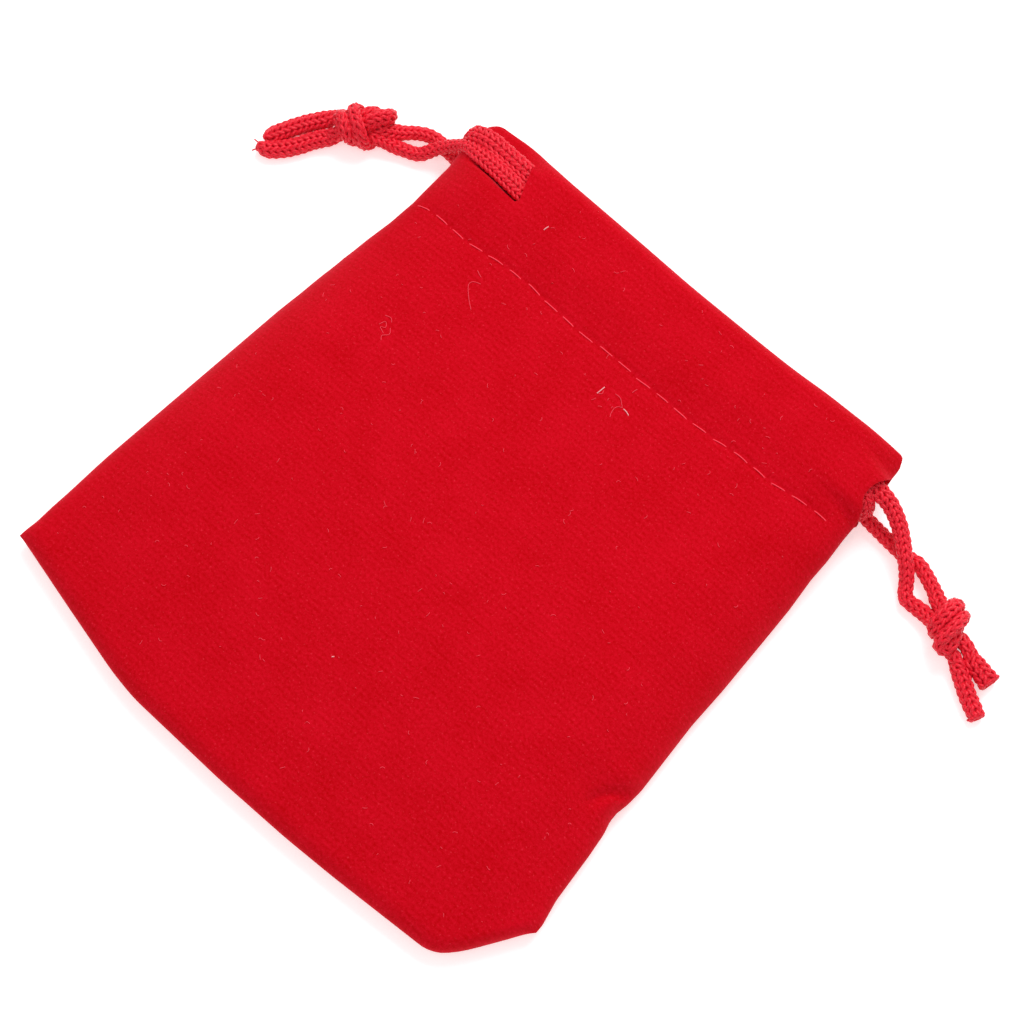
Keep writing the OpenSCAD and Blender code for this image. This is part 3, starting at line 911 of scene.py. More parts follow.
def settle(piece: bpy.types.Object) -> None:
    """Replaces a piece's mesh by what its modifiers make of it."""
    bpy.context.view_layer.update()
    made = bpy.data.meshes.new_from_object(
        piece.evaluated_get(bpy.context.evaluated_depsgraph_get()))
    old = piece.data
    piece.modifiers.clear()
    piece.data = made
    made.name = piece.name
    bpy.data.meshes.remove(old)
    made.shade_smooth()
    made.set_sharp_from_angle(angle=math.radians(SHARP_DEG))


# ---------------------------------------------------------------------- cords
@dataclass(frozen=True)
class DoubleKnot:
    """An overhand knot tied in two strands at once, in the knot's own axes.

    The strands come from -X low down, pass through the middle, wrap round
    everything, cross beneath and leave at +X under their own wraps.
    """

    lower: tuple[Point, ...]
    upper: tuple[Point, ...]
    gap: float = 2.0
    rounds: int = 24
    push: float = 0.12  # share of an overlap that one round clears
    step: float = 0.3

    def strands(self) -> tuple[np.ndarray, np.ndarray]:
        """Eases the strands off each other where they would share their place.

        Returns:
            Points of the two strands.
        """
        lines = [smooth_line(route, self.step) for route in (self.lower, self.upper)]
        n = len(lines[0])
        spots = np.concatenate(lines)
        number = np.arange(len(spots))
        same = (number[:, None] < n) == (number[None, :] < n)
        apart = np.abs(number[:, None] - number[None, :]) * self.step
        first, second = np.nonzero(np.triu(~same | (apart > 2 * self.gap), 1))
        for _ in range(self.rounds):
            span = spots[second] - spots[first]
            size = np.sqrt((span * span).sum(1))
            near = size < self.gap
            push = span[near] * ((self.gap / size[near] - 1) * self.push)[:, None]
            np.add.at(spots, first[near], -push)
            np.add.at(spots, second[near], push)
            for part in (spots[:n], spots[n:]):
                part[1:-1] = relaxed(part)
        return spots[:n], spots[n:]


LEFT_KNOT = DoubleKnot(
    ((-5.6, 1.9, -1.9), (-4.0, 1.5, -1.6), (-2.0, 1.1, -1.1), (0.4, 0.6, -0.7),
     (2.6, -0.2, -0.6), (4.2, -0.5, -0.4), (4.7, -0.9, 0.5), (4.4, -0.3, 1.5),
     (3.8, 0.6, 2.0), (3.2, 1.7, 1.7), (2.6, 2.7, 0.4), (1.8, 2.4, -1.4),
     (0.6, 0.6, -2.4), (-0.8, -1.2, -2.3), (-2.3, -2.6, -1.2), (-3.6, -3.0, 0.1),
     (-4.2, -2.5, 1.2), (-3.3, -1.9, 2.0), (-1.9, -1.2, 2.3), (-0.5, -0.5, 1.9),
     (1.0, 0.3, 1.0), (2.8, 1.1, 0.5), (4.6, 2.2, -0.6), (6.2, 3.0, -1.7)),
    ((-6.2, -1.2, -1.9), (-4.2, -0.8, -1.4), (-2.0, -0.7, -0.9), (0.0, -1.2, -0.8),
     (1.6, -1.0, -0.5), (2.5, -1.2, 0.5), (2.2, -0.7, 1.7), (1.6, 0.2, 2.4),
     (1.0, 1.4, 2.4), (0.4, 2.9, 1.4), (0.0, 3.4, -0.2), (-0.5, 2.2, -2.0),
     (-1.9, -0.2, -2.3), (-2.2, -1.8, -1.7), (-1.9, -3.0, -0.4), (-1.1, -3.1, 0.9),
     (-0.1, -2.3, 1.5), (1.2, -1.4, 1.1), (2.8, -0.8, 0.5), (4.6, -0.8, -0.3),
     (6.8, -1.0, -1.5)))
RIGHT_KNOT = DoubleKnot(
    ((-5.6, -3.4, -2.0), (-4.1, -2.6, -1.9), (-2.5, -1.9, -1.6), (-0.9, -1.3, -1.0),
     (0.5, -1.5, -0.5), (0.9, -2.6, -0.3), (0.3, -3.5, 0.3), (-0.4, -3.2, 1.4),
     (-1.0, -1.9, 2.3), (-1.6, -0.2, 2.7), (-2.3, 1.5, 2.2), (-2.9, 2.9, 0.9),
     (-3.0, 3.2, -0.5), (-2.5, 2.3, -1.8), (-1.6, 0.6, -2.3), (-0.6, -0.6, -2.0),
     (0.6, -0.1, -1.2), (1.8, 0.9, -0.9), (3.2, 1.5, -0.9), (5.0, 1.7, -1.5)),
    ((-7.0, 0.9, -2.0), (-5.4, 0.6, -1.8), (-3.7, 0.6, -1.3), (-2.0, 0.8, -0.5),
     (-0.3, 0.9, 0.3), (1.4, 0.3, 0.8), (2.7, -1.1, 0.8), (3.4, -2.6, 0.4),
     (3.2, -3.8, 0.4), (2.4, -3.9, 1.2), (1.9, -2.9, 2.1), (1.5, -1.4, 2.7),
     (1.0, 0.3, 2.8), (0.3, 1.6, 2.2), (-0.4, 2.6, 0.9), (-0.7, 2.8, -0.6),
     (-0.4, 2.3, -1.9), (0.2, 0.4, -2.4), (0.9, -1.2, -2.3), (2.0, -1.9, -1.8),
     (3.4, -1.5, -1.2), (5.2, -1.2, -1.4), (6.8, -1.3, -1.9)))


@dataclass(frozen=True)
class Placed:
    """Where a knot lies: its middle, its direction and how far it is pressed."""

    at: Point
    angle_deg: float
    stretch: Three

    def put(self, points: np.ndarray) -> np.ndarray:
        """Moves points from the knot's axes to the frame's."""
        a = math.radians(self.angle_deg)
        swing = np.array([[math.cos(a), -math.sin(a), 0], [math.sin(a), math.cos(a), 0], [0, 0, 1]])
        return points * np.array(self.stretch) @ swing.T + np.array(self.at)


@dataclass
class Section:
    """A cord's line, with its directions and its half sizes at each point."""

    line: np.ndarray
    beside: np.ndarray
    above: np.ndarray
    wide: np.ndarray
    high: np.ndarray

    def core(self, depth: float, sides: int = 10) -> bpy.types.Mesh:
        """Makes a closed oval tube inside the section.

        Args:
            depth: How far its wall is from the cord's skin.
            sides: Number of its sides.

        Returns:
            The mesh, in millimetres.
        """
        bm = bmesh.new()
        rings = []
        rows = (self.line, self.beside, self.above, self.wide - depth, self.high - depth)
        for p, b, a, w, h in zip(*(row[::3] for row in rows)):
            ring = bmesh.ops.create_circle(bm, segments=sides, radius=1.0)["verts"]
            for vert in ring:
                vert.co = p + b * (w * vert.co.x) + a * (h * vert.co.y)
            rings.append(list(dict.fromkeys(edge for vert in ring for edge in vert.link_edges)))
        for near, far in zip(rings, rings[1:]):
            bmesh.ops.bridge_loops(bm, edges=near + far)
        for ring in (rings[0], rings[-1]):
            bmesh.ops.contextual_create(bm, geom=ring)
        bmesh.ops.recalc_face_normals(bm, faces=bm.faces)
        mesh = bpy.data.meshes.new("core")
        bm.to_mesh(mesh)
        bm.free()
        return mesh


@dataclass
class KnitCord:
    """A length of round-knitted cord: loops of yarn around a soft core.

    Each loop stands in a column, the wale, with its legs close together at its
    base and spread at its head, so that a column shows a row of V shapes.
    """

    name: str
    line: np.ndarray
    finish: bpy.types.Material
    wide: np.ndarray
    high: np.ndarray | float
    wales: int
    course_mm: float
    level: np.ndarray | float = 0.0  # share by which the cord lies level
    loop_points: int = 12
    tips_first: bool = True
    frayed: int = 0
    fray_mm: float = 1.1
    yarn_mm: float = 0.68
    spread: float = 0.29
    tall: float = 0.74
    lift: float = 0.26  # of the legs off the core, in yarns
    skin: float = 0.56  # from the cord's skin to the yarn's middle, in yarns
    depth: float = 0.85  # from the cord's skin to its core, in yarns
    twist_deg: float = 45.0
    ply_mm: float = 0.272

    def section(self) -> Section:
        """Turns the cord level where it lies flat.

        Returns:
            The cord's section along its line.
        """
        beside, _ = side_frames(self.line, np.array([0.0, 1.0, 0.0]))
        heading = unit_rows(np.gradient(self.line, axis=0))
        flat = unit_rows(np.cross(np.array([0.0, 0.0, 1.0]), heading))
        same = np.sign((flat * beside).sum(1, keepdims=True))
        share = np.broadcast_to(self.level, len(self.line))[:, None]
        beside = unit_rows(beside * (1 - share) + flat * same * share)
        wide, high = (np.broadcast_to(size, len(self.line)) / 2
                      for size in (self.wide, self.high))
        return Section(self.line, beside, np.cross(heading, beside), wide, high)

    def yarn_line(self, cord: Section) -> np.ndarray:
        """Line of the one yarn that knits the whole cord.

        Args:
            cord: The cord's section.

        Returns:
            The yarn's points.
        """
        along = lengths(cord.line)
        courses = int(along[-1] / self.course_mm)
        count = courses * self.wales * self.loop_points
        t = np.arange(count + 1) / self.loop_points * 2 * np.pi  # a whole turn to a loop
        course = t / (2 * np.pi * self.wales)
        around = t / (2 * np.pi) + self.spread * np.sin(2 * t)
        s = (course + 0.5 - self.tall * np.cos(t)) * along[-1] / (courses + 0.2)
        s = np.clip(s, 0.1, along[-1] - 0.1)
        if not self.tips_first:
            s = along[-1] - s
        angle = 2 * np.pi * around / self.wales + math.radians(self.twist_deg)
        lift = -self.lift * self.yarn_mm * np.cos(2 * t)
        skin = self.yarn_mm * self.skin
        base, side, up = (read_rows(s, along, rows)
                          for rows in (cord.line, cord.beside, cord.above))
        across = np.interp(s, along, cord.wide) - skin + lift
        rise = np.interp(s, along, cord.high) - skin + lift
        made = (base + side * (across * np.cos(angle))[:, None]
                + up * (rise * np.sin(angle))[:, None])
        made[:, 2] = np.maximum(made[:, 2], self.yarn_mm / 2)
        return made

    def loose_ends(self, cord: Section) -> Lines:
        """Lines of the plies that fan out unevenly where the cord is cut.

        Args:
            cord: The cord's section.

        Returns:
            The lines.
        """
        end, beside, above = cord.line[-1], cord.beside[-1], cord.above[-1]
        heading = unit_rows(np.diff(cord.line[-3:], axis=0))[-1]
        t = np.linspace(0, 1, 7)[:, None]
        made = []
        for k in range(self.frayed):
            angle = 2.4 * k + 0.5
            out = beside * math.cos(angle) + above * math.sin(angle)
            reach = heading * self.fray_mm * (1 + 0.5 * math.sin(1.9 * k))
            sway = beside * (0.9 * math.sin(2.7 * k + 1.0)) + np.array([0.0, 0.0, -0.5])
            ply = end - heading * 0.9 + out * cord.wide[-1] * 0.6 + (reach + sway * t) * t
            made.append(np.column_stack([ply[:, :2], np.maximum(ply[:, 2], 0.4)]))
        return made

    def build(self) -> bpy.types.Object:
        """Makes the cord's mesh.

        Returns:
            The piece, whose mesh is in metres.
        """
        cord = self.section()
        meshes = [swept(self.yarn_line(cord), self.yarn_mm / 2),
                  cord.core(self.yarn_mm * self.depth)]
        meshes += [swept(line, self.ply_mm / 2) for line in self.loose_ends(cord)]
        return joined(self.name, meshes, self.finish)


def swept(points: np.ndarray, radius: float, detail: int = 1) -> bpy.types.Mesh:
    """Sweeps a round section along points.

    Args:
        points: The line.
        radius: Radius of the section.
        detail: Detail of the section, as a curve's bevel takes it.

    Returns:
        The mesh, in millimetres.
    """
    curve = bpy.data.curves.new("swept", "CURVE")
    curve.dimensions = "3D"
    curve.bevel_depth = radius
    curve.bevel_resolution = detail
    curve.use_fill_caps = True
    spline = curve.splines.new("POLY")
    spline.points.add(len(points) - 1)
    spline.points.foreach_set("co", np.column_stack([points, np.ones(len(points))]).ravel())
    carrier = bpy.data.objects.new("swept", curve)
    mesh = bpy.data.meshes.new_from_object(carrier)
    bpy.data.objects.remove(carrier)
    bpy.data.curves.remove(curve)
    return mesh


def joined(name: str, meshes: list[bpy.types.Mesh],
           finish: bpy.types.Material) -> bpy.types.Object:
    """Makes one piece of several meshes.

    Args:
        name: Name of the piece.
        meshes: Its meshes, in millimetres, which are removed.
        finish: Its finish.

    Returns:
        The piece.
    """
    whole = bmesh.new()
    for mesh in meshes:
        whole.from_mesh(mesh)
        bpy.data.meshes.remove(mesh)
    return new_piece(name, whole, finish, FIBRE_SHARP_DEG)


@dataclass(frozen=True)
class StrandRoute:
    """One free strand: from its exit to the knot, through it and to its cut end."""

    name: str
    lead: tuple[Point, ...]
    tail: tuple[Point, ...]
    strand: int  # which one of the knot's two
    flat_mm: float  # how far from its exit the strand lies flat
    tips_first: bool
    lead_wide: float
    tail_wide: float
    stands_for: tuple[str, ...]
    end_wide: float  # share of its width at its cut end
    knot_lead_wide: float
    frayed: int
    fray_mm: float


@dataclass(frozen=True)
class HeldRoute:
    """The run that lies in the casing, from exit to exit round its far loop."""

    name: str
    stands_for: tuple[str, ...]
    far_side: Side
    middle_y: float
    loop: Table  # distance beyond the casing end, and height from -1 to 1, of its points
    front: Point
    back: Point
    asides: Three  # shift along Y of three points of each run, clear of the other cord
    out: float = 46.5
    slope: float = 0.0375
    back_shift: float = 1.8
    middle_z: float = 6.3
    half_z: float = 4.1

    def points(self) -> tuple[Point, ...]:
        """Gives the route, from the front exit to the back exit.

        Returns:
            The route's points.
        """
        loop = []
        for step, share in self.loop:
            x = self.far_side.value * (self.out + step)
            y = self.middle_y - self.slope * x - self.back_shift * (1 - share) / 2
            loop.append((x, y, self.middle_z + self.half_z * share))
        asides = [np.array([0, d, 0]) for d in self.asides]
        runs = [[tuple(np.array(a) * (1 - f) + np.array(b) * f + d)
                 for f, d in zip((0.25, 0.5, 0.75), shifts)]
                for a, b, shifts in ((self.front, loop[0], asides),
                                     (loop[-1], self.back, asides[::-1]))]
        return (self.front, *runs[0], *loop, *runs[1], self.back)


@dataclass
class Drawstring:
    """One knitted cord of the pouch: two free strands, a knot and the held run."""

    body: str
    finish: bpy.types.Material
    knot: DoubleKnot
    placed: Placed
    strands: tuple[StrandRoute, ...]
    held: HeldRoute
    course_mm: float
    wales: int = 4
    flat_wide: float = 3.5
    knot_wide: float = 3.0
    knot_reach: float = 5.2
    rest_z: float = 1.35
    step: float = 0.25
    eased_rounds: int = 8
    flat_fade: Two = (-2.0, 4.0)
    knot_fade: float = 3.0
    end_long: float = 1.8
    round_high: float = 0.9  # height of a strand as a share of its width
    flat_press: float = 0.38  # and by how much less where it is pressed
    knot_press: float = 0.12
    end_press: float = 0.15
    held_high: float = 1.75
    held_squeeze: float = 0.8  # how much narrower the run is where the casing hides it
    held_seen: float = 20.0

    def strand_line(self, route: StrandRoute, knot: tuple[np.ndarray, np.ndarray]
                    ) -> tuple[np.ndarray, float, float]:
        """Joins a strand's lead, its way through the knot and its tail.

        Args:
            route: The strand.
            knot: The two strands of a tightened knot.

        Returns:
            The strand's centre line, and the distances where it meets and
            leaves the knot.
        """
        placed = self.placed.put(knot[route.strand])
        placed[:, 2] = np.maximum(placed[:, 2], self.rest_z)
        line = smooth_line(np.vstack([route.lead, placed[::5], route.tail]), self.step)
        for _ in range(self.eased_rounds):
            line[1:-1] = relaxed(line)
        line = evenly(line, self.step)
        far = np.linalg.norm(line - np.array(self.placed.at), axis=1)
        inside = lengths(line)[far < self.knot_reach]
        return line, float(inside[0]), float(inside[-1])

    def sizes(self, route: StrandRoute, along: np.ndarray, meets: float, leaves: float
              ) -> tuple[np.ndarray, np.ndarray, np.ndarray]:
        """Gives a strand's sizes along its line.

        Args:
            route: The strand.
            along: Distance along the strand to each of its points.
            meets: Distance where it meets the knot.
            leaves: Distance where it leaves the knot.

        Returns:
            Its width, its height and the share by which it lies level.
        """
        flat = 1 - ramp(along, *(route.flat_mm + fade for fade in self.flat_fade))
        before = 1 - ramp(along, meets - self.knot_fade, meets)
        after = ramp(along, leaves, leaves + self.knot_fade)
        end = ramp(along, along[-1] - self.end_long, along[-1])
        lead_wide = route.lead_wide + (route.knot_lead_wide - route.lead_wide) * ramp(
            along, 0.3 * meets, 0.8 * meets)
        wide = (self.knot_wide + (lead_wide - self.knot_wide) * before
                + (route.tail_wide - self.knot_wide) * after)
        wide = wide + (self.flat_wide - wide) * flat
        pressed = self.flat_press * flat + self.knot_press * (1 - before - after)
        high = wide * (self.round_high - pressed) * (1 - self.end_press * end)
        return wide * (1 + (route.end_wide - 1) * end), high, np.maximum(before, after)

    def build_strand(self, route: StrandRoute,
                     knot: tuple[np.ndarray, np.ndarray]) -> bpy.types.Object:
        """Args:
            route: The strand.
            knot: The two strands of a tightened knot.

        Returns:
            The piece.
        """
        line, meets, leaves = self.strand_line(route, knot)
        along = lengths(line)
        wide, high, level = self.sizes(route, along, meets, leaves)
        piece = KnitCord(route.name, line, self.finish, wide, high, self.wales, self.course_mm,
                         level, tips_first=route.tips_first, frayed=route.frayed,
                         fray_mm=route.fray_mm).build()
        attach(piece, self.body)
        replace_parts(piece, *route.stands_for)
        return piece

    def build_held(self) -> bpy.types.Object:
        """Makes the run that lies in the casing, with its far loop.

        Returns:
            The piece.
        """
        line = smooth_line(self.held.points(), 0.3)
        along = lengths(line)
        end, loop, seen = along[-1], along[-1] / 2, self.held_seen
        hidden = (hump(along, seen, loop - seen, 4.0)
                  + hump(along, loop + seen, end - seen, 4.0))
        piece = KnitCord(self.held.name, line, self.finish,
                         self.flat_wide - self.held_squeeze * hidden, self.held_high,
                         self.wales, self.course_mm, loop_points=10,
                         tips_first=self.strands[0].tips_first).build()
        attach(piece, self.body)
        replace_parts(piece, *self.held.stands_for)
        return piece

    def build(self) -> list[bpy.types.Object]:
        """Makes the whole cord."""
        knot = self.knot.strands()
        return [self.build_strand(route, knot) for route in self.strands] + [self.build_held()]


# -------------------------------------------------------- stitches and edges
@dataclass
class ThreadRow:
    """A row of sewing stitches, each a short taut arc that dives at both ends."""

    name: str
    line: np.ndarray
    finish: bpy.types.Material
    up: int = 1
    pitch: float = 3.9
    long: float = 3.5
    thick: float = 0.2
    proud: float = 0.10
    dive: float = 0.42

    def stitch(self, k: int, middle: float, along: np.ndarray) -> np.ndarray:
        """Line of one stitch, a little uneven as real ones are.

        Args:
            k: Its number.
            middle: Where its middle is along the row.
            along: Distance along the row to each of its points.

        Returns:
            The stitch's points.
        """
        size = self.long * (1 + 0.09 * math.sin(2.3 * k))
        points = read_rows(np.linspace(middle - size / 2, middle + size / 2, 9), along,
                           self.line)
        t = np.linspace(-1, 1, 9)
        points[:, 2] += self.up * (self.proud - self.dive * t**4)
        points[:, 1] += 0.12 * math.sin(1.7 * k) * t + 0.08 * math.cos(2.9 * k)
        return points

    def build(self) -> bpy.types.Object:
        """Makes all stitches of the row as one piece.

        Returns:
            The piece.
        """
        along = lengths(self.line)
        count = max(1, int(along[-1] / self.pitch))
        middles = [(k + 0.5) * along[-1] / count + 0.12 * math.sin(1.3 * k)
                   for k in range(count)]
        return joined(self.name, [swept(self.stitch(k, middle, along), self.thick / 2)
                                  for k, middle in enumerate(middles)], self.finish)


@dataclass
class Allowance:
    """The turned-in edges of two cloths along a seam, sewn and cut raw."""

    name: str
    line: np.ndarray
    inward: Point
    finish: bpy.types.Material
    width: float = 4.5
    thick: float = 1.5
    curl: float = 0.12
    worn: float = 0.25

    def build(self) -> bpy.types.Object:
        """Makes both layers as one strip that parts a little at its raw edge.

        Returns:
            The piece.
        """
        ny = len(self.line)
        bm = bmesh.new()
        bmesh.ops.create_grid(bm, x_segments=6, y_segments=ny - 1, size=0.5)
        uv = bm.loops.layers.uv.new("cloth")
        for vert in bm.verts:
            i, j = vert.co.x + 0.5, round((vert.co.y + 0.5) * (ny - 1))
            place = self.line[j] + np.array(self.inward) * (i * self.width)
            vert.co = place + np.array([0, 0, self.curl * math.sin(0.9 * j) * i])
        for loop in (loop for face in bm.faces for loop in face.loops):
            loop[uv].uv = (loop.vert.co.x / UV_SPAN, loop.vert.co.y / UV_SPAN)
        bmesh.ops.recalc_face_normals(bm, faces=bm.faces)
        piece = new_piece(self.name, bm, self.finish)
        solid = piece.modifiers.new("layers", "SOLIDIFY")
        solid.thickness = self.thick * MM
        solid.offset = 0.0
        round_off = piece.modifiers.new("worn_edge", "BEVEL")
        round_off.width = self.worn * MM
        round_off.segments = 2
        settle(piece)
        return piece


@dataclass
class LooseFibres:
    """Lint on the front cloth: short curled fibres, seeded, and a few long ones."""

    shape: PouchShape
    side: Side
    finish: bpy.types.Material
    pale: bpy.types.Material
    count: int = 110
    seed: int = 11
    lie: float = 0.05
    arch: float = 0.10
    strewn_y: Two = (-52.0, 54.0)
    strewn_x: Two = (1.0, 4.0)  # least distance from the middle line and from the side seam
    cords_from: Two = (-30.0, 44.0)
    size: Two = (0.3, 1.1)
    bend: Two = (-2.5, 2.5)
    radii: Three = (0.035, 0.045, 0.075)  # of the short and long fibres and the flecks

    def laid(self, x: np.ndarray, y: np.ndarray) -> np.ndarray:
        """Line of one fibre that lies on the pile, a little raised in its middle."""
        z = self.shape.outer_z(self.side, Face.FRONT, x, y, y - self.shape.bottom_y(x),
                               np.zeros_like(x))
        lift = self.lie + self.arch * np.sin(np.pi * np.linspace(0, 1, len(x)))
        return np.stack([x, y, z + lift], axis=1)

    def curl(self, x: float, y: float, size: float, turn: float, curve: float) -> np.ndarray:
        """Line of one short fibre, bent evenly."""
        heading = turn + curve * np.linspace(0, 1, 8)
        return self.laid(x + np.cumsum(np.cos(heading)) * size / 8,
                         y + np.cumsum(np.sin(heading)) * size / 8)

    def short(self) -> Lines:
        """Lines of the short fibres, strewn over the half but not over its cords.

        Returns:
            The lines.
        """
        rng = np.random.default_rng(self.seed + self.side.value)
        lines = []
        for _ in range(self.count):
            y = rng.uniform(*self.strewn_y)
            half = float(self.shape.half_width(self.side, np.array(y)))
            x = self.side.value * rng.uniform(self.strewn_x[0], half - self.strewn_x[1])
            if x < self.cords_from[0] and y > self.cords_from[1]:
                continue
            lines.append(self.curl(x, y, rng.uniform(*self.size), rng.uniform(0, 6.3),
                                   rng.uniform(*self.bend)))
        return lines

    def build(self) -> list[bpy.types.Object]:
        """Makes the fibres of one half.

        Returns:
            The short fibres, the long curled ones and the pale flecks.
        """
        curled, pale = ([self.laid(*smooth_line([(x, y, 0.0) for x, y in points], 0.25).T[:2])
                         for points in places[self.side]]
                        for places in (CURLED_FIBRES, PALE_FLECKS))
        kinds = (("loose_fibres", self.short(), self.finish),
                 ("curled_fibres", curled, self.finish), ("pale_flecks", pale, self.pale))
        return [joined(f"{name}_{self.side.tag}", [swept(line, radius, 0) for line in lines],
                       finish) for (name, lines, finish), radius in zip(kinds, self.radii)]


CURLED_FIBRES = {
    Side.LEFT: (
        ((-26.2, 32.2), (-27.0, 31.9), (-27.6, 31.4), (-27.5, 30.5), (-25.9, 28.9),
         (-24.2, 27.6)),
        ((-28.3, 33.7), (-27.7, 33.4), (-27.0, 33.2)),
        ((-33.9, 15.1), (-33.4, 16.2), (-32.6, 15.4), (-33.4, 14.9), (-32.2, 14.4)),
        ((-32.0, 15.9), (-31.3, 14.9), (-32.1, 13.9), (-31.6, 13.2)),
        ((-34.2, 17.0), (-33.2, 17.3), (-32.5, 16.8))),
    Side.RIGHT: (
        ((4.3, 32.6), (5.3, 32.6), (6.2, 32.0), (6.8, 31.5)),
        ((6.4, 28.9), (6.1, 29.4), (5.9, 30.5), (6.2, 31.2), (6.8, 31.5)),
        ((6.2, 34.7), (6.3, 35.3), (6.4, 35.7)),
        ((2.1, 30.7), (2.6, 31.1), (2.4, 31.7)))}
PALE_FLECKS = {
    Side.LEFT: (((-24.6, 46.4), (-24.5, 46.9), (-24.4, 47.4)),),
    Side.RIGHT: (((1.9, 30.6), (2.0, 31.2), (2.1, 32.3)),
                 ((7.1, 31.5), (7.8, 31.4), (8.5, 31.2)),
                 ((0.5, -32.8), (0.7, -32.6), (0.8, -32.5)))}


# ---------------------------------------------------------------- sub-assemblies
@dataclass(frozen=True)
class Gather:
    """Cloth between the fixed middle and a sliding casing end; follow only bakes a piece's
    placement.
    """

    side: Side
    travel_body: str
    mouth_y: float = 59.0
    tilt_deg: float = 25.0
    span: float = 33.5

    def follow(self, piece: bpy.types.Object) -> bpy.types.Object:
        """Bakes a piece's placement into its mesh.

        Args:
            piece: The piece.

        Returns:
            The piece.
        """
        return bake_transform(piece)


@dataclass
class PouchHalf:
    """Everything sewn on one half: two cloths, seam edges, stitches and lint."""

    shape: PouchShape
    side: Side
    gather: Gather
    finishes: dict[str, bpy.types.Material]
    edge_from: Two = (-46.0, -38.0)
    thread_from: Two = (-44.0, -36.0)
    thread_to: float = 37.0
    edge_in: float = 1.0
    thread_in: float = 2.9
    thread_up: float = 0.8
    hem_to: float = 45.6

    def sewn(self, piece: bpy.types.Object, slot: str, *nodes: str) -> bpy.types.Object:
        """Bakes a piece of this half in place, logs the CAD nodes that it stands for and hides
        them.
        """
        self.gather.follow(piece)
        LOG.info("%s stands for %s", piece.name, ", ".join(nodes))
        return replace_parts(piece, *nodes)

    def cloths(self) -> list[bpy.types.Object]:
        """Returns:
            The two cloths.
        """
        tag, made = self.side.tag, []
        for face in Face:
            piece = ClothHalf(self.shape, self.side, face, self.finishes["velvet"]).build()
            ends = face.pick(((f"{tag}_casing_end",), ()))
            self.sewn(piece, "velvet", f"{face.tag}_panel", f"{face.tag}_casing_{tag}", *ends)
            face.pick(([f"back_cloth_{tag}"], []))
            made.append(piece)
        return made

    def seam_line(self, low: float, high: float, inset: float, lift: float) -> np.ndarray:
        """Line beside the side seam, inside the pouch.

        Args:
            low: Where it starts.
            high: Where it ends.
            inset: Its distance from the seam.
            lift: Its height above the back cloth's edge.

        Returns:
            The line's points.
        """
        y = np.linspace(low, high, 60)
        half = self.shape.half_width(self.side, y) - inset
        z = self.shape.edge_z(self.side, Face.BACK, y) + lift
        return np.stack([self.side.value * half, y, z], axis=1)

    def seam(self) -> list[bpy.types.Object]:
        """Makes the turned-in edges of the side seam and its stitches, inside.

        Returns:
            The edges and the stitches.
        """
        tag = self.side.tag
        edge = self.seam_line(self.side.pick(self.edge_from), self.shape.stitch_y - 1,
                              self.edge_in, 0.0)
        threads = self.seam_line(self.side.pick(self.thread_from), self.thread_to,
                                 self.thread_in, self.thread_up)
        return [
            self.sewn(Allowance(f"{tag}_seam_edge", edge, (-self.side.value, 0.0, 0.0),
                                self.finishes["back"]).build(),
                      "velvet_inside", f"{tag}_seam_allowance"),
            self.sewn(ThreadRow(f"{tag}_seam_threads", threads, self.finishes["thread"]).build(),
                      "thread", f"{tag}_seam_stitches")]

    def hem_threads(self, face: Face) -> bpy.types.Object:
        """Makes the hem stitches of one cloth.

        Args:
            face: Which cloth.

        Returns:
            The piece.
        """
        x = self.side.value * np.linspace(0.0, self.hem_to, 160)
        y = self.shape.stitch_line(x)
        z = self.shape.outer_z(self.side, face, x, y, np.full_like(x, 60.0), np.zeros_like(x))
        row = ThreadRow(f"{face.tag}_hem_threads_{self.side.tag}", np.stack([x, y, z], axis=1),
                        self.finishes["thread"], face.value)
        return self.sewn(row.build(), "thread", f"{face.tag}_hem_stitches",
                         f"{self.side.tag}_end_stitches")

    def lint(self) -> list[bpy.types.Object]:
        """Makes the loose fibres on the front."""
        made = LooseFibres(self.shape, self.side, self.finishes["lint"],
                           self.finishes["pale"]).build()
        return [self.gather.follow(piece) for piece in made]

    def build(self) -> list[bpy.types.Object]:
        """Makes the half's pieces."""
        return [*self.cloths(), *self.seam(), *map(self.hem_threads, Face), *self.lint()]


@dataclass
class BottomSeam:
    """Turned-in edges and stitches of the bottom seam, which never moves."""

    shape: PouchShape
    finishes: dict[str, bpy.types.Material]
    reach: Two = (-47.0, 40.5)
    edge_in: float = 1.0
    thread_in: float = 1.9
    thread_up: float = 0.8

    def build(self) -> list[bpy.types.Object]:
        """Makes the seam's pieces.

        Returns:
            The edges and the stitches.
        """
        x = np.linspace(*self.reach, 80)
        line = np.stack([x, self.shape.bottom_y(x) + self.edge_in,
                         np.full_like(x, self.shape.seam_z)], axis=1)
        edge = Allowance("bottom_seam_edge", line, (0.0, 1.0, 0.0), self.finishes["back"]).build()
        threads = ThreadRow("bottom_seam_threads",
                            line + np.array([0.0, self.thread_in, self.thread_up]),
                            self.finishes["thread"]).build()
        for piece, slot, node in ((edge, "velvet_inside", "bottom_seam_allowance"),
                                  (threads, "thread", "bottom_seam_stitches")):
            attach(piece, "bag")
            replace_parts(piece, node)
        return [edge, threads]


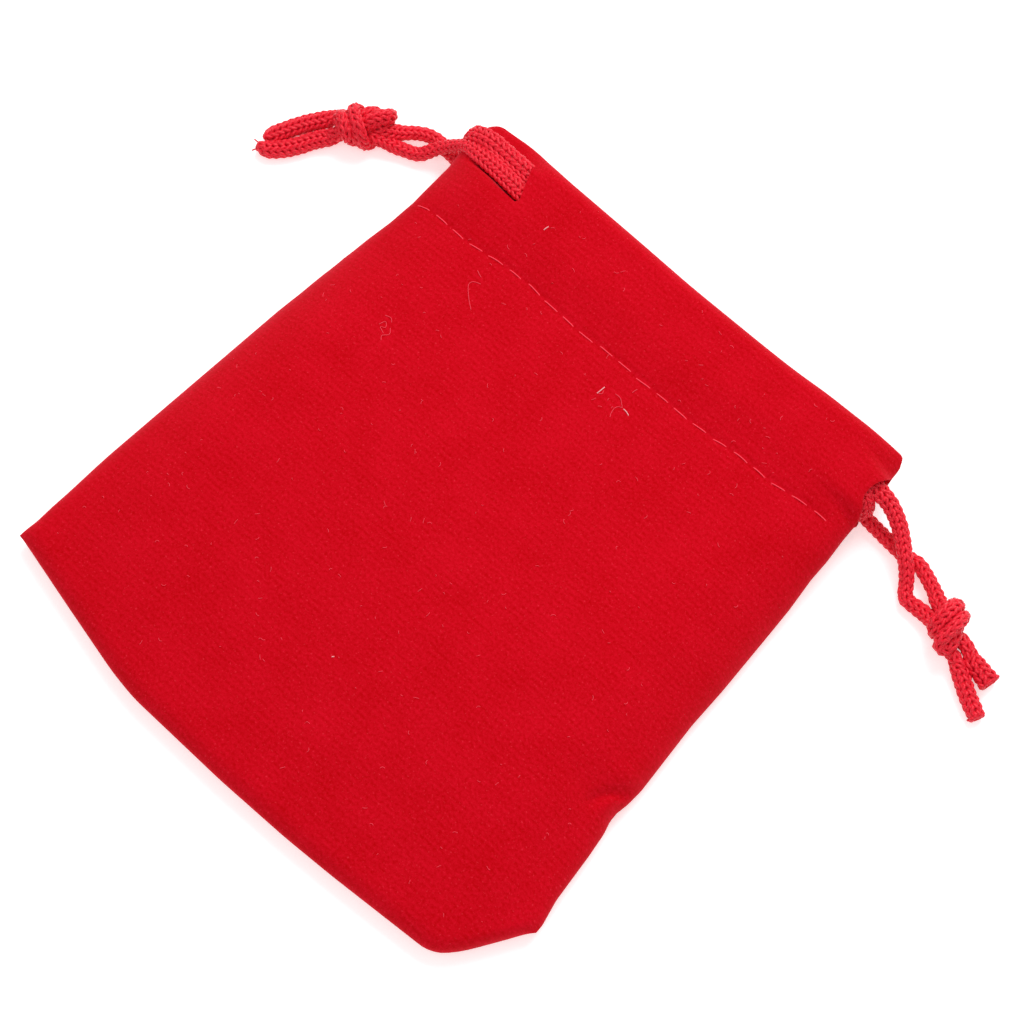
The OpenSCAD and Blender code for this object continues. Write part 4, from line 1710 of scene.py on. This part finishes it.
# ------------------------------------------------------------------ the studio
@dataclass(frozen=True)
class Studio:
    """Camera, floor and lights. Directions are in degrees, round from the front."""

    camera_at: Two = (42.5, 70.0)
    distance: float = 560.0
    target: Point = (3.71, 7.46, 3.0)
    lens: float = 116.75
    floor_half: float = 3000.0
    room_light: float = 0.5

    def place(self, data: bpy.types.ID, azimuth: float, elevation: float, middle: Point,
              distance: float) -> bpy.types.Object:
        """Puts a camera or a light where it faces a point.

        Args:
            data: The camera or the light.
            azimuth: Its direction round the point.
            elevation: Its height above the table, as an angle.
            middle: The point.
            distance: How far it is from the point.

        Returns:
            The object.
        """
        a, e = math.radians(azimuth), math.radians(elevation)
        away = Vector((math.sin(a) * math.cos(e), -math.cos(a) * math.cos(e), math.sin(e)))
        placed = bpy.data.objects.new(data.name, data)
        placed.location = (Vector(middle) + away * distance) * MM
        placed.rotation_euler = away.to_track_quat("Z", "Y").to_euler()
        bpy.context.scene.collection.objects.link(placed)
        return placed

    def camera(self) -> None:
        """Makes the camera."""
        data = bpy.data.cameras.new("camera")
        data.lens = self.lens
        data.clip_start, data.clip_end = 0.01, 20.0
        bpy.context.scene.camera = self.place(data, *self.camera_at, self.target, self.distance)

    def floor(self) -> None:
        """Makes the pale floor."""
        bm = bmesh.new()
        bmesh.ops.create_grid(bm, x_segments=2, y_segments=2, size=self.floor_half)
        finish = Plain("white_table", "#f4f4f4", "#f0f0f0", grain_mm=400.0, roughness=0.8,
                       gloss=0.1, glow=0.42)
        new_piece("studio_floor", bm, finish.make())

    def area_light(self, name: str, azimuth: float, elevation: float, power: float,
                   size: float) -> None:
        """Hangs a square soft light a metre away.

        Args:
            name: Name of the light.
            azimuth: Its direction round the pouch.
            elevation: Its height above the table, as an angle.
            power: Its power in watts.
            size: Its side in metres.
        """
        data = bpy.data.lights.new(name, "AREA")
        data.energy, data.size = power, size
        self.place(data, azimuth, elevation, (0.0, 0.0, 0.0), 1.0 / MM)

    def build(self) -> None:
        """Makes the floor and the lights."""
        self.floor()
        world = bpy.data.worlds.new("soft_white_room")
        world.use_nodes = True
        white = world.node_tree.nodes["Background"].inputs
        white[0].default_value = (1.0, 1.0, 1.0, 1.0)
        white[1].default_value = self.room_light
        bpy.context.scene.world = world
        self.area_light("key_light", azimuth=195.0, elevation=50.0, power=7.0, size=0.6)
        self.area_light("fill_light", azimuth=20.0, elevation=60.0, power=2.5, size=0.9)


def drawstrings(finish: bpy.types.Material) -> list[Drawstring]:
    """Gives the two cords with the frame's own routes.

    Args:
        finish: The cords' material.

    Returns:
        The left and the right cord.
    """
    left = Drawstring(
        "left_cord", finish, LEFT_KNOT, Placed((-63.8, 43.1, 3.5), 210.0, (1.0, 0.92, 0.96)),
        (StrandRoute(
            name="left_strand_front",
            lead=((-30.0, 49.5, 10.55), (-33.0, 49.7, 10.65), (-37.8, 50.1, 10.6),
                  (-41.7, 50.4, 10.3), (-44.8, 50.7, 9.3), (-46.8, 50.8, 7.9),
                  (-48.3, 50.5, 6.3), (-49.9, 49.8, 4.8), (-51.6, 48.7, 3.5),
                  (-53.6, 46.3, 1.8), (-55.4, 45.4, 1.6)),
            tail=((-69.4, 35.7, 1.6), (-70.9, 32.9, 1.5), (-72.6, 30.5, 1.5),
                  (-74.5, 28.8, 1.5), (-76.0, 28.3, 1.5)),
            strand=0, flat_mm=15.0, tips_first=True, lead_wide=2.2, tail_wide=3.2,
            stands_for=("left_lead_front", "left_knot", "left_tail_lower"),
            end_wide=0.5, knot_lead_wide=2.5, frayed=2, fray_mm=1.5),
         StrandRoute(
             name="left_strand_back",
             lead=((-30.0, 48.2, 2.2), (-35.0, 48.4, 2.2), (-42.0, 48.5, 2.2),
                   (-46.0, 49.4, 2.3), (-48.8, 49.9, 2.0), (-50.8, 50.0, 1.7),
                   (-53.7, 50.4, 1.5), (-56.5, 49.4, 1.5)),
             tail=((-72.4, 37.5, 1.7), (-74.0, 34.7, 1.6), (-75.3, 32.0, 1.5),
                   (-76.2, 30.0, 1.5)),
             strand=1, flat_mm=14.0, tips_first=False, lead_wide=3.0, tail_wide=3.2,
             stands_for=("left_lead_back", "left_tail_upper"),
             end_wide=0.5, knot_lead_wide=2.5, frayed=1, fray_mm=0.7)),
        HeldRoute(
            name="left_drawstring_run", stands_for=("left_drawstring",), far_side=Side.RIGHT,
            middle_y=49.7, asides=(-0.3, -0.8, -0.5),
            loop=((-8.5, 1), (-4, 0.97), (-1.2, 0.78), (0.8, 0.38), (1.6, -0.14),
                  (1.2, -0.58), (-1.6, -0.9), (-5, -0.99), (-9, -1)),
            front=(-31.1, 49.55, 10.55), back=(-31.1, 48.22, 2.2)),
        course_mm=1.15)
    right = Drawstring(
        "right_cord", finish, RIGHT_KNOT, Placed((71.2, 41.5, 3.6), -25.0, (1.0, 0.92, 1.0)),
        (StrandRoute(
            name="right_strand_front",
            lead=((40.0, 50.6, 9.5), (43.0, 50.6, 9.0), (47.4, 50.5, 7.7), (50.4, 50.35, 6.5),
                  (53.6, 49.05, 5.3), (56.0, 47.35, 4.6), (58.2, 45.5, 3.9),
                  (60.2, 43.7, 2.5), (61.5, 42.0, 1.7), (62.5, 40.9, 1.6)),
            tail=((77.7, 40.05, 1.8), (79.9, 39.6, 1.7), (82.3, 39.1, 1.7)),
            strand=0, flat_mm=8.0, tips_first=True, lead_wide=3.0, tail_wide=3.6,
            stands_for=("right_lead_front", "right_knot", "right_tail_outer"),
            end_wide=1.12, knot_lead_wide=2.6, frayed=3, fray_mm=0.5),
         StrandRoute(
             name="right_strand_back",
             lead=((40.0, 48.6, 2.2), (44.0, 47.8, 2.2), (48.2, 47.3, 2.0), (51.4, 47.1, 1.6),
                   (54.1, 46.9, 1.5), (57.5, 46.75, 1.4), (60.1, 47.15, 1.5),
                   (62.9, 46.2, 1.6)),
             tail=((79.4, 35.9, 1.6), (81.2, 34.8, 1.5), (83.0, 33.9, 1.5), (84.6, 33.1, 1.5)),
             strand=1, flat_mm=4.0, tips_first=True, lead_wide=2.5, tail_wide=3.1,
             stands_for=("right_lead_back", "right_tail_inner"),
             end_wide=0.92, knot_lead_wide=2.6, frayed=7, fray_mm=0.6)),
        HeldRoute(
            name="right_drawstring_run", stands_for=("right_drawstring",), far_side=Side.LEFT,
            middle_y=52.0, asides=(1.6, 1.3, 0.2),
            loop=((-8, 1), (-3, 0.95), (0.6, 0.52), (1.5, 0), (0.6, -0.52), (-3, -0.95),
                  (-8, -1)),
            front=(41.1, 50.6, 9.4), back=(41.1, 48.4, 2.2)),
        course_mm=1.3)
    return [left, right]


def main() -> None:
    """Builds the studio, the cords and the pouch, and reports each piece."""
    logging.basicConfig(level=logging.INFO, format="%(name)s: %(message)s", stream=sys.stdout)
    bpy.context.scene.view_settings.view_transform = "Standard"
    studio = Studio()
    studio.camera()
    finishes = {
        "velvet": Velvet().make(), "back": VelvetBack().make(), "cord": KnitYarn().make(),
        "thread": Plain("polyester_sewing_thread", "#ff4c60", "#fa3a4e", grain_mm=0.3,
                        roughness=0.6, gloss=0.1).make(),
        "lint": Plain("loose_pile_fibre", "#ff5a6c", "#f8485c", grain_mm=0.6,
                      roughness=0.8, gloss=0.1).make(),
        "pale": Plain("pale_lint", "#ffc8cc", "#ff9aa4", grain_mm=0.6).make()}
    pieces: list[bpy.types.Object] = []
    for cord in drawstrings(finishes["cord"]):
        pieces += cord.build()
    shape = PouchShape()
    # each cord's far loop pulls the casing end opposite its own exit; the half only records that
    # cord's name
    for side, body in ((Side.LEFT, "right_cord"), (Side.RIGHT, "left_cord")):
        pieces += PouchHalf(shape, side, Gather(side, body), finishes).build()
    pieces += BottomSeam(shape, finishes).build()
    studio.build()
    for piece in pieces:
        LOG.info("%s: %d faces", piece.name, len(piece.data.polygons))


if __name__ == "__main__":
    main()
